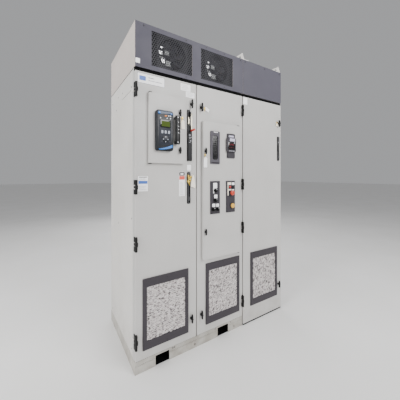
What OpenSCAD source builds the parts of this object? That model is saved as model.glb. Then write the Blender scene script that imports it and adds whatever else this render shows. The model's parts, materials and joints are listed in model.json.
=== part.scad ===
/* [Cabinet] */
// Height from the floor to the top of the hood
cab_h = 2286; // [2240:1:2340]
// Depth from the door faces to the back
cab_d = 700; // [640:10:800]
// Width of the main section, behind the left and middle doors
main_w = 925;
// Gap between the main section and the right section
section_gap = 6; // [4:1:8]
// Width of the right section
right_w = 499;
// Height of the vented hood
hood_h = 296; // [280:1:310]
// Height of the plinth under the main section
plinth_h = 85; // [75:1:87]
// Thickness of the sheet metal
sheet = 2; // [1.5:0.5:2.5]

/* [Doors] */
// Depth of the folded edge of a door
door_d = 25; // [20:1:26]
// Height of the door tops above the floor
door_top = 1965; // [1940:1:1970]
// Height of the left and middle doors' bottom edge
door_low = 88; // [88:1:100]
// Height of the right door's bottom edge
right_door_low = 12; // [10:1:20]
// Place of the seam between the left and middle doors
seam_x = 463; // [455:1:470]
// Width of that seam
seam_w = 8; // [6:1:10]
// How far the two small doors stand proud of the large ones
sub_d = 25; // [22:1:28]

/* [Filters] */
// Width of a door filter
filter_w = 340; // [330:2:350]
// Height of a door filter
filter_h = 466; // [440:2:480]
// Height of the filters' lower edge above the floor
filter_z = 145; // [136:1:160]
// Width of the filter frame's side bars
filter_bar = 27; // [20:1:35]
// Width of the filter frame's top and bottom bars
filter_rail = 56; // [40:1:60]

/* [Hidden] */
$fn = 48;

// Outer limits. X runs from the left side, Y from the door faces back, Z from the floor.
right_x = main_w + section_gap;
total_w = right_x + right_w;
lever_reach = 64;
hinge_reach = 4;
shift_x = -(total_w - hinge_reach) / 2;
shift_y = -(cab_d - lever_reach) / 2;

// Levels of the frame
hood_z = cab_h - hood_h;
post_y = [27, 54];
rear_y = [cab_d - sheet - 40, cab_d - sheet];
panel_y = [post_y[1] + 2, cab_d - sheet];
post = 40;
mullion_x = [seam_x - 15, seam_x + 15];
right_post = 30;
right_base_h = 60;

// The doors
door_edge = 2;
left_door_x = [door_edge, seam_x - seam_w / 2];
middle_door_x = [seam_x + seam_w / 2, main_w - door_edge];
right_door_x = [right_x + door_edge, total_w - door_edge];
main_door_z = [door_low, door_top];
right_door_z = [right_door_low, door_top];
filter_d = 10;
left_filter_x = 50;
middle_filter_x = 545;
right_filter_x = 1018;
right_filter_w = 348;

// Hinges of the left and middle doors
hinge_x = 4;
hinge_y = -14;
hinge_r = 8;
hinge_h = 92;
hinge_part = 30;
hinge_gap = 0.4;
hinge_arm = 14;
hinge_leaf = 20;
pin_r = 3;
running = 0.05;
hinge_levels = [217, 845, 1213, 1841];

// Pivot pins of the right door and of the two small doors
pivot_in = 6;
pivot_r = 3;
pivot_len = 12;
lug_t = 3;
lug_gap = 2;
right_pivot = [right_door_x[0] + pivot_in, pivot_in];

// The two small doors
control_x = [86, 346];
control_z = [1371, 1833];
panel_x = [508, 870];
panel_z = [649, 1698];
sub_gap = 3;
control_pivot = [control_x[0] + pivot_in, pivot_in - sub_d];
panel_pivot = [panel_x[1] - pivot_in, pivot_in - sub_d];

// Wing latches: x, and the height of the lower and the upper one
left_latch = [417, [238, 1812]];
middle_latch = [504, [238, 1802]];
right_latch = [1389, [244, 1785]];
control_latch = [309, [1463, 1726]];
panel_latch = [526, [862, 1471]];
latch_r = 5;
// Size of a latch: wing height, how far it stands out, depth of its hub, radius of its hub
large_wing = [66, 28, 11, 11];
small_wing = [48, 22, 8, 9];
wing_t = 9;
pawl_w = 12;
pawl_t = 4;
pawl_y = post_y[1] + 2;

// Swing handles
left_handle_c = [395, 1197];
right_handle_c = [1387, 1544];
handle_w = 29;
handle_h = 233;
handle_base_d = 4;
handle_d = 7;
handle_turn_up = 94;
handle_shaft_r = 6;

// Breaker operator: a plate, narrower beside the lever, and a housing below it
operator_x = [381.5, 420];
operator_z = [1394, 1767];
operator_d = 8;
operator_step = [404, 1652];
housing_z = [1400, 1592];
housing_d = 6;
lever_x = [405, 413];
lever_pivot = [-16, 1735];
lever_pin_r = 4;
lever_t = 8;
lever_grip_r = 8;
lever_grip_z = 1616;

// Openings in the doors behind the small doors
control_window = [[100, 320], [1392, 1808]];
panel_window = [[515, 850], [680, 1668]];

// Hood windows and fans
hood_win_w = 316;
hood_win_h = 231;
hood_win_x = [269, 661];
hood_win_z = 2137;
fan_r = 106;
fan_case = 240;
fan_d = 70;
fan_shaft_r = 6;

// Fork pockets in the plinth
fork_x = [[142, 243], [665, 772]];
fork_h = 70;
tunnel_t = 3;
beam = 40;

// Pilot devices on the panel door
device_d = 8;
device_face = -sub_d - device_d;
pilot_left_x = 614;
pilot_right_x = 769;
operator_r = 4;
operator_bore = 7;
button_in = 2;

module place() translate([shift_x, shift_y, 0]) children();

// A block between two values on each axis
module span(x, y, z)
  translate([x[0], y[0], z[0]]) cube([x[1] - x[0], y[1] - y[0], z[1] - z[0]]);

// A cylinder along Y, from y[0] back to y[1]
module rod_y(x, y, z, r)
  translate([x, y[0], z]) rotate([-90, 0, 0]) cylinder(r = r, h = y[1] - y[0]);

// A flat outline in X and Z, extruded along Y
module slab_y(y) translate([0, y[1], 0]) rotate([90, 0, 0]) linear_extrude(y[1] - y[0]) children();

module round_rect(w, h, r)
  union() {
    square([w - 2 * r, h], center = true);
    square([w, h - 2 * r], center = true);
    for (sx = [-1, 1], sz = [-1, 1])
      translate([sx * (w / 2 - r), sz * (h / 2 - r)]) circle(r);
  }

// ---- Base and frames ----

module plinth_beam(y)
  slab_y(y) difference() {
    square([main_w, plinth_h]);
    for (f = fork_x) translate([f[0], -1]) square([f[1] - f[0], fork_h + 1]);
  }

// Foot plate with one anchor hole
module foot_plate(x, y, anchor)
  difference() {
    span(x, y, [0, 10]);
    translate([anchor[0], anchor[1], -1]) cylinder(r = 8, h = 12);
  }

// Walls and lid of a fork pocket between the two beams
module fork_tunnel(x, y) {
  span([x[0] - tunnel_t, x[0]], y, [0, fork_h]);
  span([x[1], x[1] + tunnel_t], y, [0, fork_h]);
  span([x[0] - tunnel_t, x[1] + tunnel_t], y, [fork_h, fork_h + tunnel_t]);
}

module plinth_frame() color([0.74, 0.73, 0.71]) place() {
  front = [6, 6 + beam];
  back = [cab_d - beam, cab_d];
  difference() {
    plinth_beam(front);
    for (x = [453, 837]) rod_y(x, [0, beam + 10], 25, 7);
    span([-1, main_w + 1], [5, 8], [49, 51.5]);
  }
  plinth_beam(back);
  for (x = fork_x) fork_tunnel(x, [front[1], back[0]]);
  for (x = [[0, beam], [main_w - beam, main_w]])
    span(x, [front[1], back[0]], [0, plinth_h]);
  for (x = [beam, main_w - beam - 50], y = [front[1], back[0] - 60])
    foot_plate([x, x + 50], [y, y + 60], [x + 25, y + 30]);
}

// Posts, rails, floor and roof of one section
module section_frame(x, z, width, base, mullion) {
  inner = [x[0] + width, x[1] - width];
  for (side = [[x[0], inner[0]], [inner[1], x[1]]]) {
    span(side, post_y, z);
    span([max(side[0], x[0] + sheet), min(side[1], x[1] - sheet)], rear_y, z);
    for (level = [[z[0], z[0] + base], [z[1] - 40, z[1]]])
      span([max(side[0], x[0] + sheet), min(side[1], x[1] - sheet)],
           [post_y[1], rear_y[0]], level);
  }
  for (level = [[z[0], z[0] + base], [z[1] - 40, z[1]]]) {
    if (mullion) {
      span([inner[0], mullion_x[0]], post_y, level);
      span([mullion_x[1], inner[1]], post_y, level);
    } else
      span(inner, post_y, level);
    span(inner, rear_y, level);
  }
  if (mullion) span(mullion_x, post_y, z);
}

module main_frame() color([0.76, 0.75, 0.73]) place() {
  section_frame([0, main_w], [plinth_h, hood_z], post, 40, true);
  span([post, main_w - post], [post_y[1], rear_y[0]], [plinth_h, plinth_h + sheet]);
  difference() {
    span([post, main_w - post], [post_y[1], rear_y[0]], [hood_z - sheet, hood_z]);
    for (x = hood_win_x)
      span([x - 110, x + 110], [120, 420], [hood_z - 10, hood_z + 10]);
  }
}

module right_frame() color([0.76, 0.75, 0.73]) place() {
  x = [right_x, total_w];
  section_frame(x, [0, hood_z], right_post, right_base_h, false);
  span([x[0] + right_post, x[1] - right_post], [post_y[1], rear_y[0]],
       [hood_z - sheet, hood_z]);
  for (fx = [x[0] + right_post, x[1] - right_post - 50], fy = [post_y[1], rear_y[0] - 60])
    foot_plate([fx, fx + 50], [fy, fy + 60], [fx + 25, fy + 30]);
}

module outer_panels() color([0.77, 0.76, 0.75]) place() {
  span([0, sheet], panel_y, [plinth_h + 2, hood_z]);
  span([total_w - sheet, total_w], panel_y, [2, hood_z]);
  difference() {
    span([main_w - sheet, main_w], panel_y, [plinth_h + 2, hood_z]);
    span([main_w - 10, main_w + 10], [250, 450], [1200, 1400]);
  }
  span([0, main_w], [cab_d - sheet, cab_d], [plinth_h + 2, hood_z]);
  span([right_x, total_w], [cab_d - sheet, cab_d], [2, hood_z]);
}

// ---- Hood ----

module hood_window(x, grow)
  span([x - hood_win_w / 2 - grow, x + hood_win_w / 2 + grow], [-1, sheet + 1],
       [hood_win_z - hood_win_h / 2 - grow, hood_win_z + hood_win_h / 2 + grow]);

// Screws along the front of the hood: x and z of each
hood_screws = [[375, 2270], [375, 2003], [553, 2270], [728, 2270], [728, 2003], [905, 2268],
               [60, 2270], [960, 2268], [1200, 2268], [1405, 2268]];
screw_r = 3;

// One hood cover: front, sides, top and back of sheet, open underneath
module hood_cover(x)
  difference() {
    span(x, [0, cab_d], [hood_z, cab_h]);
    span([x[0] + sheet, x[1] - sheet], [sheet, cab_d - sheet], [hood_z - 1, cab_h - sheet]);
    for (w = hood_win_x) hood_window(w, 0);
    for (s = hood_screws) rod_y(s[0], [-1, sheet + 1], s[1], screw_r + 0.2);
  }

// The hood covers meet a little to the right of the section gap
hood_split = right_x + 3;

module hood_covers() color([0.47, 0.46, 0.5]) place() {
  hood_cover([0, hood_split - 1]);
  hood_cover([hood_split + 1, total_w]);
}

module hood_grille(x) {
  w = hood_win_w + 24;
  h = hood_win_h + 16;
  bars_x = 9;
  bars_z = 6;
  pitch_x = hood_win_w / bars_x;
  pitch_z = hood_win_h / bars_z;
  translate([x, 0, hood_win_z]) slab_y([sheet, sheet + 2]) difference() {
    square([w, h], center = true);
    for (i = [0 : bars_x - 1], k = [0 : bars_z - 1])
      translate([(i - (bars_x - 1) / 2) * pitch_x, (k - (bars_z - 1) / 2) * pitch_z])
        square([pitch_x - 5, pitch_z - 5], center = true);
  }
}

module hood_grilles() color([0.1, 0.1, 0.11]) place()
  for (x = hood_win_x) hood_grille(x);

// Lifting angles run from front to back over the right section
angle_h = 62;
angle_t = 5;
angle_foot = 55;
lift_r = 15;

lift_y = [50, cab_d - 50];
lift_up = 34;
foot_bolts = [120, cab_d / 2, cab_d - 120];
// Upright's left face and the side its foot is on
lifts = [[right_x + 9, 1], [total_w - 20, -1]];

function foot_x(lift) = lift[1] > 0 ? lift[0] + angle_t : lift[0] - angle_foot;

module lifting_angle(lift) {
  translate([lift[0], 0, cab_h]) rotate([90, 0, 90]) linear_extrude(angle_t) difference() {
    polygon([[0, 0], [0, 8], [17, angle_h], [cab_d - 17, angle_h], [cab_d, 8], [cab_d, 0]]);
    for (y = lift_y) translate([y, lift_up]) circle(lift_r);
  }
  translate([foot_x(lift), 0, cab_h]) difference() {
    cube([angle_foot, cab_d, angle_t]);
    for (y = foot_bolts)
      translate([angle_foot / 2, y, -1]) cylinder(r = 6.5, h = angle_t + 2);
  }
}

module lifting_angles() color([0.86, 0.85, 0.83]) place()
  for (lift = lifts) lifting_angle(lift);

module cover_screws() color([0.35, 0.35, 0.36]) place() {
  for (s = hood_screws) {
    rod_y(s[0], [-3, 0], s[1], 5.5);
    rod_y(s[0], [0, 12], s[1], screw_r);
  }
  for (lift = lifts, y = foot_bolts)
    translate([foot_x(lift) + angle_foot / 2, y, cab_h + angle_t])
      cylinder(r = 10, h = 8, $fn = 6);
}

// ---- Hood fans ----

module fan_frame(x) {
  front = sheet + 2;
  translate([x, 0, hood_win_z]) {
    slab_y([front, front + fan_d]) difference() {
      round_rect(fan_case, fan_case, 14);
      circle(fan_r);
    }
    slab_y([front + fan_d, front + fan_d + 6]) difference() {
      union() {
        difference() {
          circle(fan_case / 2);
          circle(fan_r);
        }
        for (a = [0 : 60 : 120]) rotate(a) square([2 * fan_r + 4, 10], center = true);
        circle(38);
      }
    }
    rod_y(0, [front + 20, front + fan_d], 0, fan_shaft_r);
  }
}

module fan_frames() color([0.16, 0.16, 0.17]) place()
  for (x = hood_win_x) fan_frame(x);

// Rotor: a hub with pitched blades, turning on the frame's shaft
module fan_rotor(x) {
  front = sheet + 2 + 16;
  depth = 40;
  hub_r = 36;
  blades = 7;
  place() translate([x, 0, hood_win_z]) difference() {
    union() {
      rod_y(0, [front, front + depth], 0, hub_r);
      for (k = [0 : blades - 1])
        rotate([0, k * 360 / blades, 0])
          translate([0, front + depth / 2, hub_r - 2]) rotate([0, 0, 38])
            translate([-28, -1.5, 0]) cube([56, 3, fan_r - hub_r - 4]);
    }
    rod_y(0, [front + 3.5, front + depth + 1], 0, fan_shaft_r + running);
  }
}

module fan_rotor_left() color([0.22, 0.22, 0.23]) fan_rotor(hood_win_x[0]);
module fan_rotor_middle() color([0.22, 0.22, 0.23]) fan_rotor(hood_win_x[1]);

// ---- Doors and their hinges ----

// A folded sheet pan, open at the back
module pan(x, y, z)
  difference() {
    span(x, y, z);
    span([x[0] + sheet, x[1] - sheet], [y[0] + sheet, y[1] + 1], [z[0] + sheet, z[1] - sheet]);
  }

// Window behind a door filter
module filter_window(x, w = filter_w)
  span([x + filter_bar, x + w - filter_bar], [-1, sheet + 1],
       [filter_z + filter_rail, filter_z + filter_h - filter_rail]);

module latch_holes(latch, y)
  for (z = latch[1]) rod_y(latch[0], y, z, latch_r + running);

module window(w, y) span(w[0], y, w[1]);

// Fixed part of a hinge: middle knuckle, pin and the arm round the door's edge
module fixed_hinge(side, z) {
  x0 = side > 0 ? hinge_x : main_w - hinge_x;
  arm = side > 0 ? [-hinge_reach, 0] : [main_w, main_w + hinge_reach];
  translate([x0, hinge_y, z - hinge_part / 2]) cylinder(r = hinge_r, h = hinge_part);
  span(arm, [hinge_y, post_y[1]], [z - hinge_arm / 2, z + hinge_arm / 2]);
  translate([x0, hinge_y, z - hinge_h / 2 + 6]) cylinder(r = pin_r, h = hinge_h - 12);
}

// Moving part of a hinge: the knuckles above and below, each with a leaf round the door's edge
module door_hinge(side, z) {
  x0 = side > 0 ? hinge_x : main_w - hinge_x;
  near = hinge_part / 2 + hinge_gap;
  leaf = side > 0 ? [-hinge_reach, left_door_x[0]] : [middle_door_x[1], main_w + hinge_reach];
  for (level = [[z + near, z + hinge_h / 2], [z - hinge_h / 2, z - near]])
    difference() {
      union() {
        translate([x0, hinge_y, level[0]]) cylinder(r = hinge_r, h = level[1] - level[0]);
        span(side > 0 ? [x0, x0 + hinge_r] : [x0 - hinge_r, x0], [hinge_y, 0], level);
        span(leaf, [hinge_y, hinge_leaf], level);
        span(side > 0 ? [leaf[0], x0] : [x0, leaf[1]], [hinge_y, 0], level);
      }
      translate([x0, hinge_y, z - hinge_h / 2 + 5.5])
        cylinder(r = pin_r + running, h = hinge_h - 11);
    }
}

// Block inside a pan round a pivot pin, before its bore is cut
module pivot_block(x, y, z, side)
  span(side > 0 ? [x[0] + sheet, x[0] + 16] : [x[1] - 16, x[1] - sheet],
       [y[0] + sheet, y[0] + 14], z);

// A pan that swings on a pin at its top and another at its bottom
module pivoted_pan(x, y, z, pivot, side)
  difference() {
    union() {
      pan(x, y, z);
      pivot_block(x, y, [z[0] + sheet, z[0] + pivot_len + 6], side);
      pivot_block(x, y, [z[1] - pivot_len - 6, z[1] - sheet], side);
    }
    translate([pivot[0], pivot[1], z[0] - 1])
      cylinder(r = pivot_r + running, h = pivot_len + 2);
    translate([pivot[0], pivot[1], z[1] - pivot_len - 1])
      cylinder(r = pivot_r + running, h = pivot_len + 2);
  }

// Lugs above and below a pivoted pan, each with its pin
module pivot_lugs(z, pivot, side, back) {
  x = side > 0 ? [pivot[0] - pivot_in, pivot[0] + 12] : [pivot[0] - 12, pivot[0] + pivot_in];
  low = z[0] - lug_gap;
  high = z[1] + lug_gap;
  span(x, [pivot[1] - pivot_in, back], [low - lug_t, low]);
  span(x, [pivot[1] - pivot_in, back], [high, high + lug_t]);
  translate([pivot[0], pivot[1], low - 1]) cylinder(r = pivot_r, h = pivot_len);
  translate([pivot[0], pivot[1], high + 1 - pivot_len]) cylinder(r = pivot_r, h = pivot_len);
}

module frame_hinges() color([0.13, 0.13, 0.14]) place() {
  for (z = hinge_levels, side = [1, -1]) fixed_hinge(side, z);
  pivot_lugs(right_door_z, right_pivot, 1, post_y[0]);
}

// ---- Wing latches and swing handles ----

// Wing, hub, shaft and pawl in one piece; the pawl hangs down until the wing is turned
module wing_latch(latch, k, face, size, pawl, reach)
  place() {
    x = latch[0];
    z = latch[1][k];
    rod_y(x, [face - size[2], pawl + 1], z, latch_r);
    rod_y(x, [face - size[2], face - 0.3], z, size[3]);
    translate([x, 0, z]) slab_y([face - size[1], face - size[2]]) round_rect(wing_t, size[0], 4);
    span([x - pawl_w / 2, x + pawl_w / 2], [pawl, pawl + pawl_t], [z - reach, z + 8]);
  }

module left_latch(k) wing_latch(left_latch, k, 0, large_wing, pawl_y, 43);
module middle_latch(k) wing_latch(middle_latch, k, 0, large_wing, pawl_y, 38);
module right_latch(k) wing_latch(right_latch, k, 0, large_wing, pawl_y, 30);
module control_latch(k) wing_latch(control_latch, k, -sub_d, small_wing, 3, 26);
module panel_latch(k) wing_latch(panel_latch, k, -sub_d, small_wing, 3, 26);

latch_color = [0.15, 0.15, 0.16];
module left_latch_bottom() color(latch_color) left_latch(0);
module left_latch_top() color(latch_color) left_latch(1);
module middle_latch_bottom() color(latch_color) middle_latch(0);
module middle_latch_top() color(latch_color) middle_latch(1);
module right_latch_bottom() color(latch_color) right_latch(0);
module right_latch_top() color(latch_color) right_latch(1);
module control_latch_bottom() color(latch_color) control_latch(0);
module control_latch_top() color(latch_color) control_latch(1);
module panel_latch_bottom() color(latch_color) panel_latch(0);
module panel_latch_top() color(latch_color) panel_latch(1);

// Recessed plate that a swing handle lies on
module handle_base(c)
  place() difference() {
    translate([c[0], 0, c[1]]) slab_y([-handle_base_d, 0]) round_rect(handle_w, handle_h, 9);
    rod_y(c[0], [-handle_base_d - 1, 1], c[1] + handle_turn_up, handle_shaft_r + running);
  }

// Lever, shaft and pawl; the pawl points up until the lever is turned
module swing_handle(c, reach)
  place() {
    pivot_z = c[1] + handle_turn_up;
    front = -handle_base_d - handle_d - 0.3;
    back = -handle_base_d - 0.3;
    translate([c[0], 0, c[1]]) {
      slab_y([front + 3, back]) round_rect(handle_w - 4, handle_h - 4, 8);
      slab_y([front, front + 3]) round_rect(handle_w - 9, handle_h - 12, 6);
    }
    rod_y(c[0], [back - 1, pawl_y + 1], pivot_z, handle_shaft_r);
    span([c[0] - pawl_w / 2, c[0] + pawl_w / 2], [pawl_y, pawl_y + pawl_t],
         [pivot_z - 9, pivot_z + reach]);
  }

handle_color = [0.3, 0.3, 0.31];
module left_handle_base() color(latch_color) handle_base(left_handle_c);
module right_handle_base() color(latch_color) handle_base(right_handle_c);
module left_handle() color(handle_color) swing_handle(left_handle_c, 77);
module right_handle() color(handle_color) swing_handle(right_handle_c, 34);

module handle_hole(c)
  rod_y(c[0], [-1, sheet + 1], c[1] + handle_turn_up, handle_shaft_r + running);

// ---- Left door ----

door_color = [0.79, 0.78, 0.77];

module left_door() color(door_color) place() difference() {
  pan(left_door_x, [0, door_d], main_door_z);
  filter_window(left_filter_x);
  window(control_window, [-1, sheet + 1]);
  latch_holes(left_latch, [-1, sheet + 1]);
  handle_hole(left_handle_c);
}

// Moving hinge parts of the door, and the lugs that carry its small door
module left_door_hinges() color(latch_color) place() {
  for (z = hinge_levels) door_hinge(1, z);
  pivot_lugs(control_z, control_pivot, 1, 0);
}

// Filter: a chamfered frame, and the pleated media as a flat block inside it
module door_filter(x, w = filter_w)
  place() translate([x + w / 2, 0, filter_z + filter_h / 2]) {
    inner = [w - 2 * filter_bar, filter_h - 2 * filter_rail];
    slab_y([-filter_d, 0]) difference() {
      round_rect(w, filter_h, 4);
      square(inner, center = true);
    }
    slab_y([-filter_d + 4, 0]) square(inner, center = true);
  }

filter_color = [0.36, 0.33, 0.37];
module left_filter() color(filter_color) door_filter(left_filter_x);
module middle_filter() color(filter_color) door_filter(middle_filter_x);
module right_filter() color(filter_color) door_filter(right_filter_x, right_filter_w);

// Plate of the breaker operator, its housing, and the bracket with the lever's pin
module operator_plate() color([0.13, 0.13, 0.16]) place() {
  span(operator_x, [-operator_d, 0], [operator_z[0], operator_step[1]]);
  span([operator_x[0], operator_step[0]], [-operator_d, 0], [operator_step[1], operator_z[1]]);
  span([operator_x[0] + 3, operator_x[1] - 3], [-operator_d - housing_d, -operator_d], housing_z);
  span([lever_x[0] - 9, lever_x[0] - 1], [lever_pivot[0] - 7, -operator_d],
       [lever_pivot[1] - 16, lever_pivot[1] + 16]);
  translate([lever_x[0] - 2, lever_pivot[0], lever_pivot[1]]) rotate([0, 90, 0])
    cylinder(r = lever_pin_r, h = lever_x[1] - lever_x[0] + 4);
}

// Lever: a flat arm down from its pin, and a round grip that points forward
module breaker_lever() color([0.72, 0.13, 0.12]) place() {
  mid = (lever_x[0] + lever_x[1]) / 2;
  arm = [lever_pivot[0] - lever_t / 2, lever_pivot[0] + lever_t / 2];
  difference() {
    union() {
      translate([lever_x[0], lever_pivot[0], lever_pivot[1]]) rotate([0, 90, 0])
        cylinder(r = 7.5, h = lever_x[1] - lever_x[0]);
      span(lever_x, arm, [lever_grip_z, lever_pivot[1]]);
      rod_y(mid, [-lever_reach, arm[1]], lever_grip_z, lever_grip_r);
    }
    translate([lever_x[0] - 1, lever_pivot[0], lever_pivot[1]]) rotate([0, 90, 0])
      cylinder(r = lever_pin_r + running, h = lever_x[1] - lever_x[0] + 2);
  }
}

// ---- Control door on the left door ----

module control_door() color([0.82, 0.81, 0.8]) place() difference() {
  pivoted_pan(control_x, [-sub_d, -sub_gap], control_z, control_pivot, 1);
  latch_holes(control_latch, [-sub_d - 1, -sub_d + sheet + 1]);
}

keypad_x = [125, 247];
keypad_z = [1452, 1721];
keypad_d = 32;

module keypad() color([0.12, 0.2, 0.28]) place()
  translate([(keypad_x[0] + keypad_x[1]) / 2, 0, (keypad_z[0] + keypad_z[1]) / 2]) {
    slab_y([-sub_d - keypad_d + 8, -sub_d])
      round_rect(keypad_x[1] - keypad_x[0], keypad_z[1] - keypad_z[0], 10);
    slab_y([-sub_d - keypad_d, -sub_d - keypad_d + 8])
      round_rect(keypad_x[1] - keypad_x[0] - 8, keypad_z[1] - keypad_z[0] - 8, 12);
  }

control_handle_c = [279, 1600];
control_handle_w = 40;
control_handle_h = 197;
control_handle_d = 35;

// Bow handle: two feet and a grip standing off the door
module control_handle() color([0.1, 0.1, 0.11]) place() {
  grip = [-sub_d - control_handle_d, -sub_d - control_handle_d + 14];
  c = control_handle_c;
  translate([c[0], 0, c[1]]) slab_y(grip) round_rect(control_handle_w, control_handle_h, 15);
  for (s = [-1, 1])
    translate([c[0], 0, c[1] + s * (control_handle_h / 2 - 15)])
      slab_y([grip[1], -sub_d]) round_rect(28, 26, 10);
}

// ---- Middle door and its panel door ----

module middle_door() color(door_color) place() difference() {
  pan(middle_door_x, [0, door_d], main_door_z);
  filter_window(middle_filter_x);
  window(panel_window, [-1, sheet + 1]);
  latch_holes(middle_latch, [-1, sheet + 1]);
}

module middle_door_hinges() color(latch_color) place() {
  for (z = hinge_levels) door_hinge(-1, z);
  pivot_lugs(panel_z, panel_pivot, -1, 0);
}

module panel_door() color([0.82, 0.81, 0.8]) place() difference() {
  pivoted_pan(panel_x, [-sub_d, -sub_gap], panel_z, panel_pivot, -1);
  latch_holes(panel_latch, [-sub_d - 1, -sub_d + sheet + 1]);
}

bezel_z = [1376, 1629];
device_w = 88;

// Bezel with a deep display window
module meter_bezel() color([0.55, 0.54, 0.56]) place()
  translate([pilot_left_x, 0, (bezel_z[0] + bezel_z[1]) / 2]) {
    slab_y([device_face, -sub_d - 2]) difference() {
      round_rect(device_w, bezel_z[1] - bezel_z[0], 6);
      round_rect(52, 186, 16);
    }
    slab_y([-sub_d - 2, -sub_d]) round_rect(device_w, bezel_z[1] - bezel_z[0], 6);
  }

relay_z = [1427, 1624];
relay_body_z = [1476, 1589];

// Protection relay: a flat case whose wider middle stands forward
module relay() color([0.3, 0.29, 0.32]) place() {
  translate([pilot_right_x + 4, 0, (relay_z[0] + relay_z[1]) / 2])
    slab_y([device_face, -sub_d]) round_rect(80, relay_z[1] - relay_z[0], 8);
  translate([pilot_right_x, 0, (relay_body_z[0] + relay_body_z[1]) / 2])
    slab_y([device_face - 10, device_face]) round_rect(92, relay_body_z[1] - relay_body_z[0], 10);
}

// Pilot plates: where each operator sits, by column
device_z = [992, 1244];
selectors = [[612, 1172], [612, 1098], [593, 1029], [632, 1029]];
push_buttons = [[757, 1196], [791, 1196]];
stop_place = [770, 1149];
reset_place = [783, 1044];
ring_places = [push_buttons[0], push_buttons[1], reset_place];
button_r = 10;
reset_r = 19;
stop_r = 20;

function ring_r(p) = p == reset_place ? reset_r + 1 : button_r + 1;

module pilot_plate(x, operators)
  difference() {
    span([x - device_w / 2, x + device_w / 2], [device_face, -sub_d], device_z);
    for (p = operators)
      rod_y(p[0], [device_face - 1, device_face + operator_bore], p[1], operator_r + running);
  }

// Contact block behind the panel
module contact_block(p) span([p[0] - 13, p[0] + 13], [-sub_d + sheet, 12], [p[1] - 13, p[1] + 13]);

module pilot_plates() color([0.29, 0.28, 0.31]) place() {
  pilot_plate(pilot_left_x, selectors);
  pilot_plate(pilot_right_x, concat(push_buttons, [stop_place, reset_place]));
  for (p = ring_places)
    translate([p[0], 0, p[1]]) slab_y([device_face - 5, device_face]) difference() {
      circle(ring_r(p) + 2.5);
      circle(ring_r(p));
    }
  for (p = concat(selectors, push_buttons, [reset_place])) contact_block(p);
}

// Selector: a round body with a raised grip across it
module selector(k) {
  p = selectors[k];
  color([0.08, 0.08, 0.09]) place() {
    rod_y(p[0], [device_face - 9, device_face - 0.3], p[1], 15);
    translate([p[0], 0, p[1]]) slab_y([device_face - 22, device_face - 9])
      round_rect(9, 29, 4);
    rod_y(p[0], [device_face - 1, device_face + operator_bore - 2], p[1], operator_r);
  }
}

module selector_top() selector(0);
module selector_middle() selector(1);
module selector_low_left() selector(2);
module selector_low_right() selector(3);

// A button's turned profile: [radius, height from the plate], ended by a domed cap
module operator_button(p, r, lift, cap, dome) {
  steps = 8;
  crown = [for (i = [0 : steps]) [r * cos(i * 90 / steps), lift + cap + dome * sin(i * 90 / steps)]];
  profile = concat([[0, -button_in], [operator_r, -button_in], [operator_r, lift],
                    [r, lift]], crown);
  place() translate([p[0], device_face, p[1]]) rotate([90, 0, 0]) rotate_extrude()
    polygon(profile);
}

module push_button_left() color([0.75, 0.12, 0.1])
  operator_button(push_buttons[0], button_r, 4.5, 4, 1.5);
module push_button_right() color([0.1, 0.1, 0.11])
  operator_button(push_buttons[1], button_r, 4.5, 4, 1.5);
module stop_button() color([0.85, 0.2, 0.12])
  operator_button(stop_place, stop_r, 18, 6, 6);
module reset_button() color([0.93, 0.66, 0.12])
  operator_button(reset_place, reset_r, 4.5, 8, 4);

// ---- Right door ----

module right_door() color(door_color) place() difference() {
  pivoted_pan(right_door_x, [0, door_d], right_door_z, right_pivot, 1);
  filter_window(right_filter_x, right_filter_w);
  latch_holes(right_latch, [-1, sheet + 1]);
  handle_hole(right_handle_c);
}

// ---- Inside the cabinet ----

plate_y = [600, 603];

module standoffs(x, z)
  for (px = x, pz = z) rod_y(px, [plate_y[1], rear_y[0]], pz, 8);

shelf_t = 6;

module mounting_plates() color([0.7, 0.71, 0.72]) place() {
  span([20, main_w - 20], plate_y, [230, 1880]);
  standoffs([30, main_w - 30], [400, 1650]);
  span([right_x + 12, total_w - 12], plate_y, [520, 1900]);
  standoffs([right_x + 20, total_w - 20], [700, 1600]);
  span([right_x + sheet, total_w - sheet], [140, 400], [right_base_h, right_base_h + shelf_t]);
}

breaker_z = [1500, 1760];
drive_z = [700, 1300];
drive_x = [80, 330];
bus_y = [505, 510];

module circuit_breaker() color([0.2, 0.2, 0.21]) place() {
  span([150, 290], [490, plate_y[0]], breaker_z);
  span([165, 275], [478, 490], [breaker_z[0] + 60, breaker_z[1] - 60]);
  span([212, 228], [450, 478], [1625, 1665]);
}

module drive_module() color([0.28, 0.29, 0.31]) place() {
  span(drive_x, [380, 530], drive_z);
  span([drive_x[0] + 12, drive_x[1] - 12], [372, 380], [drive_z[0] + 150, drive_z[1] - 20]);
  for (k = [0 : 5])
    span([drive_x[0] + 25 + k * 36, drive_x[0] + 45 + k * 36], [374, 380],
         [drive_z[0] + 20, drive_z[0] + 130]);
}

module drive_heatsink() color([0.75, 0.76, 0.77]) place() {
  fins = 13;
  pitch = (drive_x[1] - drive_x[0] - 4) / (fins - 1);
  span(drive_x, [530, 540], drive_z);
  for (k = [0 : fins - 1])
    span([drive_x[0] + k * pitch, drive_x[0] + k * pitch + 4], [540, plate_y[0]], drive_z);
}

module contactor(x) {
  span([x, x + 80], [520, plate_y[0]], [1190, 1320]);
  span([x + 8, x + 72], [492, 520], [1210, 1300]);
  span([x + 4, x + 76], [530, plate_y[0]], [1120, 1185]);
}

module contactors() color([0.82, 0.82, 0.8]) place()
  for (x = [520, 620, 720]) contactor(x);

terminals = 24;
terminal_w = 12;

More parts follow.
